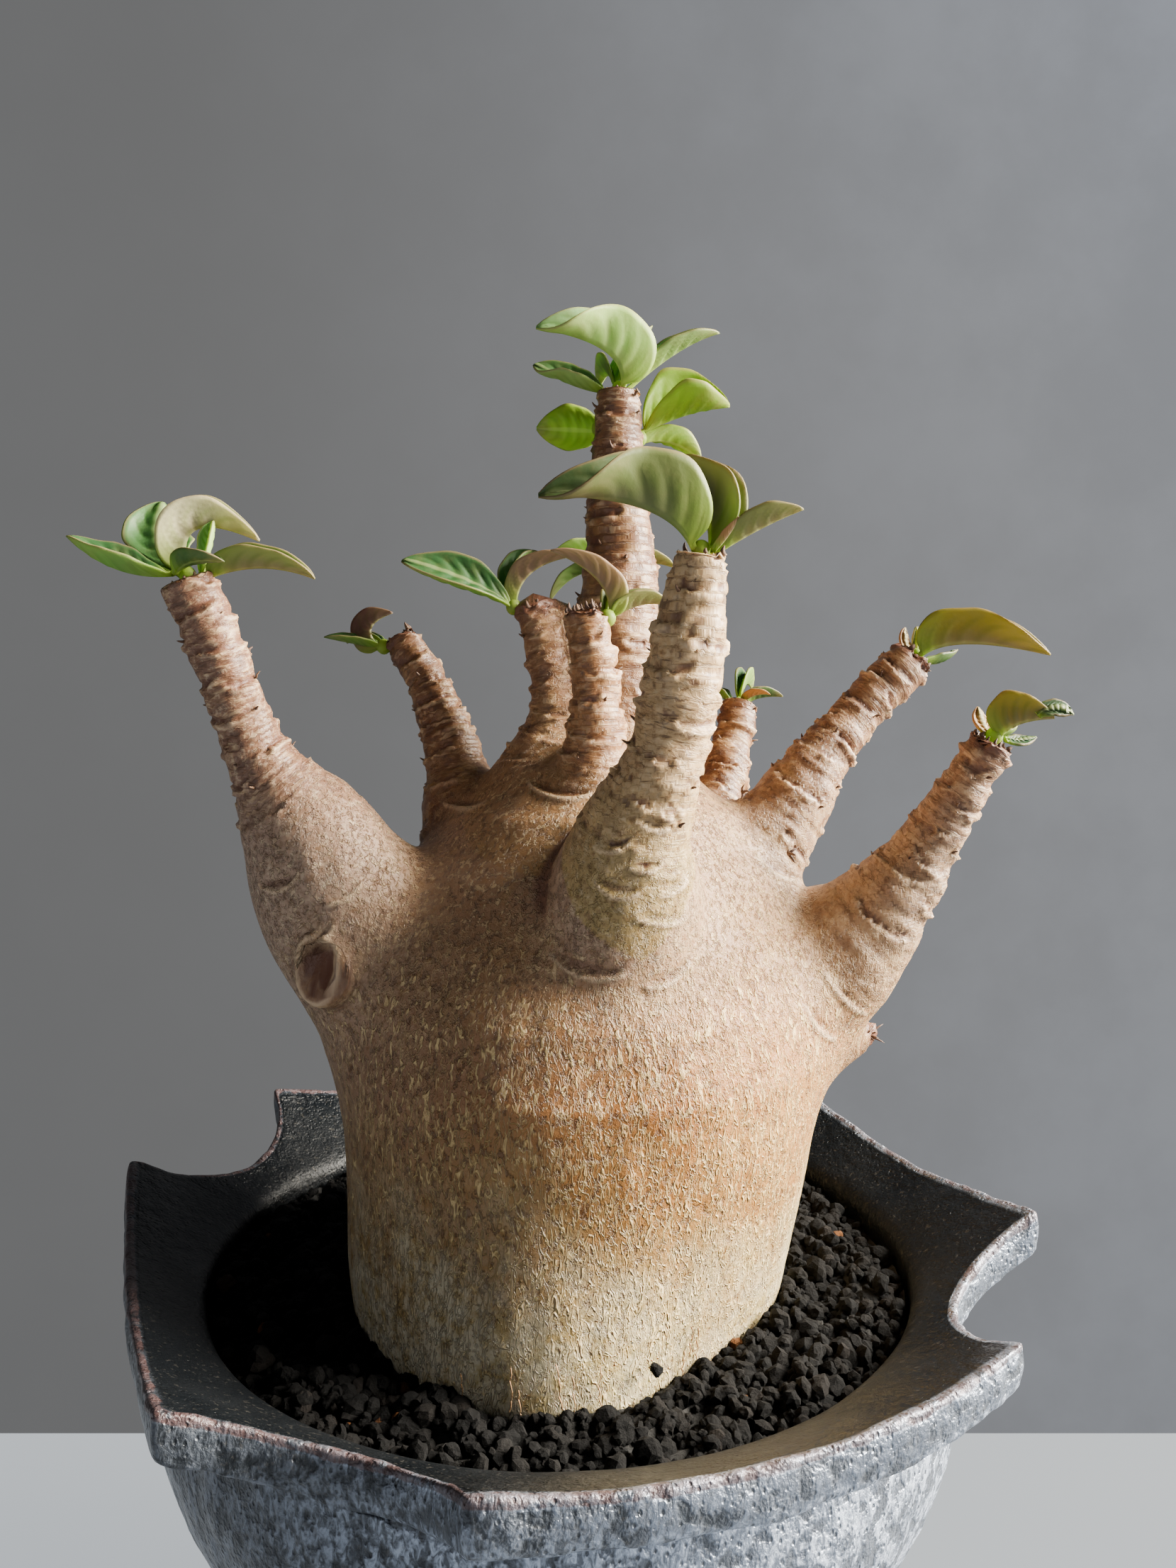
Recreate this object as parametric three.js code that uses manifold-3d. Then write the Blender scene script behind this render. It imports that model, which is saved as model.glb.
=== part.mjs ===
// A caudex plant in a stoneware pot: a swollen stem with ten ringed branches, a rosette of fleshy
// folded leaves on each branch tip, black granules, and a dark pot whose flared rim has four bites.
// Millimetres, +Z up. The origin is the middle of the pot's foot, on the table.
import * as THREE from 'three';
import { mergeVertices } from 'three/addons/utils/BufferGeometryUtils.js';
import Module from 'manifold-3d';

const wasm = await Module();
wasm.setup();

// ---- Driving dimensions -------------------------------------------------------------------------

const GAP = 0.3; // between pieces that touch
const SECTORS = 44; // sides of the pot and the soil
const STEM_SECTORS = 32; // of the swollen stem
const NEAR = 0.1; // outline points closer than this are one point

// Pot
const MOUTH_R = 53; // the rim's inner edge
const MOUTH_Z = 80; // its height above the table
const FUNNEL_SLOPE = 0.55; // rise of the flared rim per millimetre outwards
const FUNNEL_R = 78; // the flare before its outline is cut
const FLARE_THICKNESS = 6.5;
const NECK_R = 60.2; // where the bowl meets the flare's underside
const CUT_Z = 73; // the outline is cut down to here
const FOOT_R = 36;
const FLOOR_THICKNESS = 9;
const TIP_R = 72; // the rim's eight horns
const TIP_SPREAD = 15; // degrees from the middle of a bite to a horn
const BITE_ANGLES = [67, 157, 249, 337]; // where the four bites are, in degrees from +X
const BITE_R = 23;
const BITE_CENTRE_R = 83;
const SIDE_BULGES = [2, 1.5, 5, 1.5]; // of the side that follows each bite
const DRAIN_R = 4.5;
const DRAIN_RING_R = 19;
const DRAIN_COUNT = 3;
const DRAIN_GROOVE = 2.5; // depth of the groove from each drain hole to the foot's edge

// Net over the drain holes
const NET_R = 26;
const NET_THICKNESS = 1;
const NET_PITCH = 11;
const NET_EYE = 8;

// Soil
const SOIL_Z = 76.5; // its level at the pot's wall
const SOIL_MOUND = 1.2; // how much higher it lies at the stem
const GRAIN_RELIEF = 1.5;
const SOIL_RINGS = 8;
const HOLE_GAP = 0.45; // between the stem and the hole's corners, so that its flats clear too
const WALL_GAP = 0.45;

// Branches
const SIDES = 8;
const RING_PITCH = 4.6; // between the ridges of the leaf scars
const RING_DEPTH = 0.05; // of the branch's radius
const RINGS_BELOW_R = 7.6; // thicker stretches of a branch are smooth

// Leaves
const LEAF_THICKNESS = 0.85;
const LEAF_STEPS = 5;
const PETIOLE_HALF = 0.9;
const CLAW_OPENING = 25; // a blade folded tighter than this tapers like a claw, and others are spoons
const BUD_R = 2.4; // what the leaves' feet are sunk in
const BUD_RISE = 0.9; // its middle above the rosette's place
const CLEARANCE_LENGTH = 16; // of the branch's end that is kept clear of leaves

// ---- Shared helpers -----------------------------------------------------------------------------

const radians = THREE.MathUtils.degToRad;

// A repeatable draw between 0 and 1.
function seededRandom(seed) {
  let state = seed;
  return () => {
    state = (state * 1664525 + 1013904223) % 4294967296;
    return state / 4294967296;
  };
}

function toSolid(geometry) {
  const bare = geometry.index ? geometry.toNonIndexed() : geometry.clone();
  bare.deleteAttribute('normal');
  bare.deleteAttribute('uv');
  const merged = mergeVertices(bare, 1e-4);
  const vertProperties = new Float32Array(merged.attributes.position.array);
  const triVerts = new Uint32Array(merged.index.array);
  return new wasm.Manifold(new wasm.Mesh({ numProp: 3, vertProperties, triVerts }));
}

function toMesh(solid, name, material) {
  const { vertProperties, triVerts } = solid.getMesh();
  const geometry = new THREE.BufferGeometry();
  geometry.setAttribute('position', new THREE.BufferAttribute(vertProperties, 3));
  geometry.setIndex(new THREE.BufferAttribute(triVerts, 1));
  geometry.computeVertexNormals();
  const mesh = new THREE.Mesh(geometry, material);
  mesh.name = name;
  return mesh;
}

// A closed solid from rings of points, each ring as long as the others, with both ends capped.
function loft(rings) {
  const count = rings[0].length;
  const points = rings.flat();
  const faces = [];
  for (let i = 0; i + 1 < rings.length; i += 1) {
    for (let j = 0; j < count; j += 1) {
      const a = i * count + j;
      const b = i * count + ((j + 1) % count);
      faces.push(a, b, b + count, a, b + count, a + count);
    }
  }
  for (const [first, outward] of [[0, false], [(rings.length - 1) * count, true]]) {
    const middle = new THREE.Vector3();
    for (let j = 0; j < count; j += 1) {
      middle.add(points[first + j]);
    }
    points.push(middle.divideScalar(count));
    for (let j = 0; j < count; j += 1) {
      const a = first + j;
      const b = first + ((j + 1) % count);
      faces.push(...(outward ? [a, b, points.length - 1] : [b, a, points.length - 1]));
    }
  }
  const geometry = new THREE.BufferGeometry().setFromPoints(points);
  geometry.setIndex(faces);
  return toSolid(geometry);
}

// A round solid from a profile of [radius, height] that runs from the axis back to the axis.
function revolve(profile, sectors = SECTORS) {
  const points = profile.map(([r, z]) => new THREE.Vector2(r, z));
  const lathe = new THREE.LatheGeometry(points, sectors);
  lathe.rotateX(Math.PI / 2);
  return toSolid(lathe);
}

// An outline's points, without the pairs that fall on each other where two curves meet.
function distinctPoints(outline, curveSegments) {
  const points = outline.getPoints(curveSegments);
  return points.filter((p, i) => p.distanceTo(points[(i + 1) % points.length]) > NEAR);
}

function prism(outline, z0, z1, curveSegments) {
  const shape = new THREE.Shape(distinctPoints(outline, curveSegments));
  const geometry = new THREE.ExtrudeGeometry(shape, { depth: z1 - z0, bevelEnabled: false });
  geometry.translate(0, 0, z0);
  return toSolid(geometry);
}

// The body alone, with the hollows that fusing sealed filled and any loose scrap dropped.
function largestShell(solid) {
  return solid.decompose().reduce((best, shell) => (shell.volume() > best.volume() ? shell : best));
}

function smoothCurve(rows) {
  return new THREE.CatmullRomCurve3(rows.map((p) => new THREE.Vector3(...p)), false, 'catmullrom');
}

// ---- Pot ----------------------------------------------------------------------------------------

const funnelZ = (r) => MOUTH_Z + (r - MOUTH_R) * FUNNEL_SLOPE;

const POT_OUTSIDE = [
  [0, 0],
  [FOOT_R, 0],
  [39.5, 13],
  [46.6, 37],
  [47.2, 41],
  [48.8, 42.3],
  [52.4, 46],
  [55, 51],
  [57.6, 57],
  [59.2, 62],
  [NECK_R, 67],
  [NECK_R, funnelZ(NECK_R) - FLARE_THICKNESS],
  [FUNNEL_R, funnelZ(FUNNEL_R) - FLARE_THICKNESS],
];

const POT_INSIDE = [
  [FUNNEL_R, funnelZ(FUNNEL_R)],
  [MOUTH_R + 1.2, funnelZ(MOUTH_R + 1.2)],
  [MOUTH_R, MOUTH_Z - 1],
  [53.8, 66],
  [51.5, 57],
  [48, 49],
  [42, 39],
  [36, 16],
  [32, FLOOR_THICKNESS],
  [0, FLOOR_THICKNESS],
];

// The rim seen from above: four sides, each a little bowed, between four round bites.
function rimOutline() {
  const axis = new THREE.Vector2();
  const at = (r, degrees) => new THREE.Vector2(r, 0).rotateAround(axis, radians(degrees));
  const shape = new THREE.Shape();
  BITE_ANGLES.forEach((bite, i) => {
    const centre = at(BITE_CENTRE_R, bite);
    const into = at(TIP_R, bite - TIP_SPREAD);
    const out = at(TIP_R, bite + TIP_SPREAD);
    const start = into.clone().sub(centre).angle();
    const end = out.clone().sub(centre).angle();
    if (i === 0) {
      shape.moveTo(into.x, into.y);
    }
    shape.absarc(centre.x, centre.y, BITE_R, start, end, true);
    const next = at(TIP_R, BITE_ANGLES[(i + 1) % 4] - TIP_SPREAD);
    const middle = out.clone().add(next).multiplyScalar(0.5);
    const bowed = middle.clone().setLength(middle.length() + 2 * SIDE_BULGES[i]);
    shape.quadraticCurveTo(bowed.x, bowed.y, next.x, next.y);
  });
  return shape;
}

function makePot() {
  const thrown = revolve([...POT_OUTSIDE, ...POT_INSIDE]);
  const top = funnelZ(FUNNEL_R) + 5;
  const waste = new THREE.CylinderGeometry(FUNNEL_R + 5, FUNNEL_R + 5, top - CUT_Z, 12);
  waste.rotateX(Math.PI / 2).translate(0, 0, (CUT_Z + top) / 2);
  const kept = prism(rimOutline(), CUT_Z - 1, top + 1, 6);
  let pot = thrown.subtract(toSolid(waste).subtract(kept));
  for (let i = 0; i < DRAIN_COUNT; i += 1) {
    const angle = radians(90 + (i * 360) / DRAIN_COUNT);
    const x = DRAIN_RING_R * Math.cos(angle);
    const y = DRAIN_RING_R * Math.sin(angle);
    const drill = new THREE.CylinderGeometry(DRAIN_R, DRAIN_R, 3 * FLOOR_THICKNESS, 16);
    drill.rotateX(Math.PI / 2).translate(x, y, 0);
    const groove = new THREE.BoxGeometry(FOOT_R, DRAIN_R, 2 * DRAIN_GROOVE);
    groove.translate(DRAIN_RING_R + FOOT_R / 2, 0, 0).rotateZ(angle);
    pot = pot.subtract(toSolid(drill)).subtract(toSolid(groove));
  }
  return pot;
}

// ---- Net over the drain holes -------------------------------------------------------------------

function makeNet() {
  const middle = FLOOR_THICKNESS + GAP + NET_THICKNESS / 2;
  const disc = new THREE.CylinderGeometry(NET_R, NET_R, NET_THICKNESS, 24);
  let net = toSolid(disc.rotateX(Math.PI / 2).translate(0, 0, middle));
  const reach = Math.floor(NET_R / NET_PITCH);
  for (let i = -reach; i <= reach; i += 1) {
    for (let j = -reach; j <= reach; j += 1) {
      if (Math.hypot(i, j) * NET_PITCH + NET_EYE < NET_R) {
        const eye = new THREE.BoxGeometry(NET_EYE, NET_EYE, 3 * NET_THICKNESS);
        net = net.subtract(toSolid(eye.translate(i * NET_PITCH, j * NET_PITCH, middle)));
      }
    }
  }
  return net;
}

// ---- Swollen stem -------------------------------------------------------------------------------

// Its radius at each height, from the rounded root end in the soil to the crown.
const STEM_PROFILE = [
  [2, 39],
  [12, 41.5],
  [21, 48],
  [27, 60],
  [30.6, 70],
  [31.6, 76],
  [33, 85],
  [34.3, 96],
  [35.7, 106],
  [36.6, 115],
  [35.2, 124],
  [32, 132.5],
  [27, 141],
  [20.5, 149],
  [13, 155.5],
  [5, 159.5],
];
const STEM_AXIS = { low: [1.7, -4.5], high: [5.8, 1.5], from: 70, to: 150 };
// Low on the stem one blunt corner points forwards, with flatter flanks beside it.
const STEM_LOBES = [
  { angle: -96, width: 20, amount: 5.2 },
  { angle: -48, width: 26, amount: -3.2 },
  { angle: -150, width: 30, amount: 1.6 },
  { angle: -126, width: 14, amount: -1 },
];
const LOBES_FADE = { from: 66, to: 104 };

function stemPoint(radius, z, angle, grow = 0) {
  const rise = THREE.MathUtils.smoothstep(z, STEM_AXIS.from, STEM_AXIS.to);
  const fade = 1 - THREE.MathUtils.smoothstep(z, LOBES_FADE.from, LOBES_FADE.to);
  const degrees = THREE.MathUtils.radToDeg(angle);
  let r = radius + grow;
  for (const lobe of STEM_LOBES) {
    const away = THREE.MathUtils.euclideanModulo(degrees - lobe.angle + 180, 360) - 180;
    r += (radius / 33) * fade * lobe.amount * Math.exp(-((away / lobe.width) ** 2));
  }
  return new THREE.Vector3(
    THREE.MathUtils.lerp(STEM_AXIS.low[0], STEM_AXIS.high[0], rise) + r * Math.cos(angle),
    THREE.MathUtils.lerp(STEM_AXIS.low[1], STEM_AXIS.high[1], rise) + r * Math.sin(angle),
    z,
  );
}

const sectorAngles = (count) => Array.from({ length: count }, (_, j) => (2 * Math.PI * j) / count);

function makeSwollenStem() {
  const angles = sectorAngles(STEM_SECTORS);
  return loft(STEM_PROFILE.map(([r, z]) => angles.map((angle) => stemPoint(r, z, angle))));
}

// Branches: stations of [x, y, z, radius] from inside the stem to the tip.
const BRANCHES = {
  left: [
    [-18, -6, 120, 15],
    [-28.5, -8, 131, 12],
    [-33, -8.5, 139, 11.4],
    [-36, -9, 146, 9.4],
    [-40, -10.5, 153, 6],
    [-43.5, -12, 161, 4.2],
    [-47.5, -14, 174, 3.8],
    [-50.5, -15, 182, 3.5],
  ],
  leftBack: [
    [-10, 6, 138, 9],
    [-15, 8, 147, 6.6],
    [-16.5, 10.5, 153, 4.8],
    [-18.5, 12.5, 160, 4.1],
    [-21.5, 14.5, 168, 3.4],
    [-26.5, 16.5, 175.5, 3],
  ],
  middleLeft: [
    [-3, 3, 146, 9],
    [-3, 3, 154, 5.8],
    [-1, 3.5, 162, 3.6],
    [-1.5, 4, 169.5, 2.9],
    [-4, 5, 179.5, 3],
  ],
  middle: [
    [5, -7, 148, 8],
    [5.2, -8.5, 155, 5.1],
    [5.7, -9, 161, 4.3],
    [5.3, -10, 170, 3.4],
    [4, -10, 178.5, 3],
  ],
  top: [
    [8, 4, 146, 11],
    [9, 6.5, 158, 7.8],
    [9.5, 8, 180, 6.2],
    [9.2, 9, 195, 4.9],
    [9.1, 10, 205, 3.9],
    [9.3, 10.5, 213.5, 3.4],
  ],
  front: [
    [8, -14, 123, 12],
    [8.5, -21.5, 132.5, 11],
    [9, -25, 140.5, 9.8],
    [10.5, -27.5, 148.5, 7.5],
    [14, -29.5, 158, 5.5],
    [16.5, -31, 170, 4.9],
    [18.3, -32, 184, 3.1],
  ],
  rightUpper: [
    [20, -1, 132, 11],
    [29, 0.5, 141, 7.4],
    [35, 2, 149, 6.2],
    [40, 3.5, 156, 4.6],
    [47, 6, 163.7, 3.8],
    [55.5, 8, 172, 3.3],
  ],
  rightLower: [
    [26, -4, 118, 13],
    [39, -6, 126, 9.8],
    [43.5, -8, 131.5, 8.2],
    [48, -9.5, 137.5, 6.2],
    [53, -11, 145, 4.4],
    [60.5, -15, 160, 3.1],
  ],
  back: [
    [16, 12, 132, 9],
    [22.5, 18, 142, 6],
    [27, 22, 150, 4.2],
    [29, 26, 156, 3.6],
    [31, 30, 164, 3],
  ],
  topBack: [
    [8, 13, 142, 9],
    [8.5, 19.5, 155, 5.2],
    [9.3, 23, 166, 4],
    [9.4, 28, 187, 3],
  ],
  driedStub: [
    [0, 5, 150, 4.5],
    [0.3, 5.5, 164, 2.6],
    [0, 6, 178, 1.8],
  ],
  lowRightStub: [
    [36, -4.5, 112, 4.2],
    [43, -4.5, 114, 2.4],
    [46.6, -4.4, 115.3, 1.3],
  ],
  prunedKnob: [
    [-26, -10, 126, 4.6],
    [-31.5, -20, 128.5, 4.2],
  ],
};

// Rings of points round a branch, at these shares of its length. reach turns a radius and a
// ring's number into that ring's size.
function branchRings(stations, shares, reach) {
  const path = smoothCurve(stations.map(([x, y, z]) => [x, y, z]));
  const radii = smoothCurve(stations.map(([, , , r]) => [r, 0, 0]));
  return shares.map((share, i) => {
    const t = path.getUtoTmapping(share);
    const centre = path.getPoint(t);
    const tangent = path.getTangent(t);
    const u = new THREE.Vector3(0, 1, 0).cross(tangent).normalize();
    const v = tangent.clone().cross(u);
    const size = reach(radii.getPoint(t).x, i);
    return sectorAngles(SIDES).map((angle) => centre.clone()
      .addScaledVector(u, size * Math.cos(angle))
      .addScaledVector(v, size * Math.sin(angle)));
  });
}

const branchLength = (stations) => smoothCurve(stations.map(([x, y, z]) => [x, y, z])).getLength();
const evenShares = (steps) => Array.from({ length: steps + 1 }, (_, i) => i / steps);

function branchSolid(stations) {
  const ringed = stations.length > 3;
  const steps = ringed ? Math.round((2 * branchLength(stations)) / RING_PITCH) : 3;
  return loft(branchRings(stations, evenShares(steps), (radius, i) => {
    const ridge = ringed && radius < RINGS_BELOW_R && i < steps;
    return ridge ? radius * (1 + (i % 2 ? RING_DEPTH : -RING_DEPTH)) : radius;
  }));
}

function makeCaudex() {
  const branches = Object.values(BRANCHES).map((stations) => branchSolid(stations));
  return branches.reduce((whole, branch) => whole.add(branch), makeSwollenStem());
}

// ---- Soil ---------------------------------------------------------------------------------------

function stemRadius(z) {
  const above = STEM_PROFILE.findIndex(([, height]) => height > z);
  const [[r0, z0], [r1, z1]] = STEM_PROFILE.slice(above - 1, above + 1);
  return THREE.MathUtils.mapLinear(z, z0, z1, r0, r1);
}

// A plain hole that the stem stands in, grains in relief on top, and the pot's inside below.
function makeSoil() {
  const angles = sectorAngles(SECTORS);
  const random = seededRandom(7);
  const round = (r, z) => angles.map((a) => new THREE.Vector3(r * Math.cos(a), r * Math.sin(a), z));
  const hole = STEM_PROFILE.filter(([, z]) => z < SOIL_Z - 1);
  const rings = hole.map(([r, z], i) => {
    const lower = i < 2 ? GAP : 0;
    return angles.map((a) => stemPoint(r, z - lower, a, HOLE_GAP));
  });
  for (let k = 0; k <= SOIL_RINGS; k += 1) {
    const share = k / SOIL_RINGS;
    const level = THREE.MathUtils.lerp(SOIL_Z + SOIL_MOUND, SOIL_Z, share);
    const edge = k === 0 || k === SOIL_RINGS;
    rings.push(angles.map((a) => {
      const z = level + (random() - 0.5) * 2 * GRAIN_RELIEF * (edge ? 0.4 : 1);
      const inner = stemPoint(stemRadius(z), z, a, HOLE_GAP);
      const outer = new THREE.Vector3(Math.cos(a), Math.sin(a), 0).multiplyScalar(MOUTH_R - GAP);
      const skew = edge ? 0 : (random() - 0.5) * 0.6;
      return inner.lerp(outer.setZ(z), share + skew / SOIL_RINGS);
    }));
  }
  const walls = POT_INSIDE.filter(([, z]) => z < SOIL_Z && z > FLOOR_THICKNESS);
  walls.forEach(([r, z]) => rings.push(round(r - WALL_GAP, z)));
  rings.push(round(walls.at(-1)[0] - 5, FLOOR_THICKNESS + NET_THICKNESS + 2 * GAP));
  return loft(rings.reverse());
}

// ---- Leaves -------------------------------------------------------------------------------------

// Each leaf: [foot, middle of the midrib, tip, half width, roll, opening, twist]. Its points are from
// its rosette's place. It is rolled about its midrib, its fold is opened by so many degrees, and its
// tip is twisted and spread further where a twist is given.
const ROSETTES = {
  leaves_left: {
    branch: 'left',
    place: [-50.5, -15, 182.5],
    leaves: [
      [[-1.6, -0.6, 0.2], [-9, -2, 1], [-15.3, -3, 5.4], 3.9, -18, 40],
      [[-1, 1.5, 0], [-5.4, 4.2, 5.2], [-5.4, 7, 11.4], 4.8, -8, 80],
      [[0, 1.5, 0], [0.5, 2.5, 6.8], [9.3, 3, 5.2], 5, 10, 16],
      [[2, 0.5, 0], [3, 1.5, 4.8], [3, 2.5, 8.2], 2.2, 0, 34],
      [[2, 0, -0.5], [10, -1, 1.2], [18, -2, -0.4], 3.6, 14, 20],
      [[-1.2, -1.4, 0.2], [2, -4.5, 1.7], [7, -6.2, 1.6], 2.5, -14, 58],
    ],
  },
  leaves_left_back: {
    branch: 'leftBack',
    place: [-29, 15.8, 173.8],
    leaves: [
      [[0, 0, 0], [-4.8, -1, 0.8], [-9.5, -1.8, 1.8], 2, -20, 36],
      [[0, 0, 0], [-1.8, -1, 3.2], [1.8, -0.8, 5.8], 3.6, 0, 18],
      [[0, 1, 0], [-3, 3, 1.5], [-7, 4.5, 1], 1.8, 0, 40],
    ],
  },
  leaves_middle_left: {
    branch: 'middleLeft',
    place: [-7, 4.5, 179.5],
    leaves: [
      [[0, 0, 0], [-7.6, -2.5, 4], [-16.8, -3.5, 7], 4.2, -48, 56],
      [[0.5, -0.3, 0], [3, -1.5, 5.5], [10.8, -3, 7.9], 2.8, 6, 16],
      [[0.3, 0.8, 0], [0.5, 3, 5.6], [4.2, 5.5, 8.8], 3.4, 0, 30],
      [[-0.3, 0.8, 0], [-6.5, 4, 3.4], [-12.4, 6, 5.2], 1.8, 0, 30],
    ],
  },
  leaves_middle: {
    branch: 'middle',
    place: [7.2, -10.4, 177],
    leaves: [
      [[0, 0, 0], [-1.4, -0.8, 5.4], [-8.2, -1.6, 9.6], 3.3, 0, 16],
      [[0.4, 0.3, 0], [4.8, 1, 2.2], [9.2, 2, 2], 2.6, 12, 22],
      [[-0.2, 0.9, 0], [0.6, 4, 3], [2.5, 7, 4.5], 2.2, 0, 30],
    ],
  },
  leaves_top: {
    branch: 'top',
    place: [9.3, 10.5, 213.7],
    leaves: [
      [[0, -1.6, 0], [-2.4, -3.5, 5.2], [-13, -5.5, 8], 7.2, 0, 15, -60],
      [[1.4, 0.5, 0], [9, 0.8, 6], [15.8, 0.5, 9], 3.8, 16, 46],
      [[-1.8, 0.5, -0.3], [-7.6, 1.5, 1.4], [-13.6, 2.5, 4.8], 3.8, -22, 44, -30],
      [[0.6, 1.6, 0], [3.2, 3.5, 6], [5.5, 5, 11.5], 2.4, 0, 34],
      [[-0.6, 1.7, 0], [-1.5, 6.5, 4], [-3, 12, 3.5], 4, 0, 26],
    ],
  },
  leaf_top_lower_left: {
    branch: 'top',
    place: [6.2, 13, 208.2],
    leaves: [[[0.8, -0.6, -0.4], [-4, 2, 0.6], [-10.2, 3, 1], 4.1, 68, 62]],
  },
  leaves_top_lower_right: {
    branch: 'top',
    place: [12.6, 12.8, 206.6],
    leaves: [
      [[0.2, 0.2, 0.9], [7.4, 1.4, 4.2], [14.6, 1.4, 5.6], 9.4, 22, 46],
      [[-0.4, -0.4, -0.8], [5, 2.4, 0.2], [10.2, 4.4, -2.2], 3, -30, 46],
    ],
  },
  leaves_top_back: {
    branch: 'topBack',
    place: [9.4, 28, 187.4],
    leaves: [
      [[-1.4, -0.4, 0], [-5.4, -1, 2.6], [-10.8, -1.6, 3], 3.6, 0, 34],
      [[-1.4, 0.6, 0], [-7, 1.4, -0.6], [-11.5, 0.8, -5], 2.8, 0, 40],
      [[1.4, 0.4, 0], [5.2, 1, 1.6], [10.2, 1.6, 0.8], 2.8, 0, 30],
      [[0.2, 1.5, 0], [1, 6, 4.6], [2, 12, 5], 4, 0, 20],
    ],
  },
  leaves_front: {
    branch: 'front',
    place: [18.3, -32, 184],
    leaves: [
      [[-1.2, -0.8, 0], [-7.3, -3, 4.9], [-20, -5, 6], 7.4, 0, 14, -60],
      [[0.8, 0.6, 0], [-0.6, 4, 6.6], [-8, 6.5, 9], 6.4, 0, 12],
      [[1.8, 0, -0.3], [7, -1, 2.7], [12.3, -2, 5], 3.2, 10, 27],
      [[1, 1.5, -0.2], [4.8, 3, 1.9], [8, 4, 3.6], 1.6, 0, 40],
      [[1.6, -1, 0], [3.4, -1.6, 2.2], [4.4, -2, 4.2], 1, 0, 30],
    ],
  },
  leaves_right_upper: {
    branch: 'rightUpper',
    place: [56, 8, 172],
    leaves: [
      [[0.4, -1.2, 0], [7.2, -2.4, 2.2], [20.2, -3, 0.4], 6.1, 0, 15, 30],
      [[-0.6, 0.4, 0], [-1.7, 1, 2.6], [-1.3, 1.4, 5], 1.4, 0, 75],
      [[0.2, 1.2, 0], [0.5, 1.8, 2.8], [0.6, 2.2, 5.2], 1.1, 0, 34],
      [[1.2, 0.8, -0.4], [4.7, 3, -0.6], [8.2, 5, 1.6], 2.2, -10, 50],
      [[0.6, 1.6, 0], [3, 6, 2.6], [5, 11, 1.2], 3, 0, 24],
    ],
  },
  leaves_right_lower: {
    branch: 'rightLower',
    place: [60.8, -15, 160.5],
    leaves: [
      [[0.6, -0.8, 0], [2.8, -2, 2], [7.2, -3, 2.8], 5, 0, 15],
      [[4.8, -2.8, 3.2], [7.2, -2.8, 4.2], [9.8, -2.8, 3.4], 1.5, 60, 76],
      [[-0.4, 0.6, 0], [-1.4, 1.8, 2], [-1.5, 2.6, 4.4], 1.7, 0, 75],
      [[1.4, 0.3, -0.4], [3.8, 0.9, -0.6], [6.4, 1.4, 0.2], 1.3, 40, 66],
      [[0.8, 1.2, 0], [3, 1.8, 0.6], [4, 2.2, 1.8], 1, 0, 40],
    ],
  },
  leaves_back: {
    branch: 'back',
    place: [31, 30, 164.2],
    leaves: [
      [[1.2, 0.2, 0], [4, 1.2, 1.4], [8.2, 2, 1.6], 2.4, 0, 30],
      [[-1, 0.6, 0], [-2.6, 2.4, 2.4], [-2.8, 3.6, 4.6], 2, 0, 26],
      [[0.4, -1, 0], [2.4, -2.4, 1.8], [5.2, -3, 2], 1.6, 0, 36],
      [[0.2, 1.4, 0], [2, 6, 3.6], [4, 12, 2.6], 3.6, 0, 20],
    ],
  },
};

// Half width along a leaf: a short petiole, then a blade that is a claw or a spoon.
function leafWidth(t, half, opening) {
  const blade = Math.max(0, (t - 0.06) / 0.94);
  const fullest = opening < CLAW_OPENING ? 0.8 : 1.15;
  const swell = Math.sin(Math.PI * blade ** fullest) ** 0.7;
  return PETIOLE_HALF * (1 - t) + Math.max(0, half - PETIOLE_HALF * 0.5) * swell;
}

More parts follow.
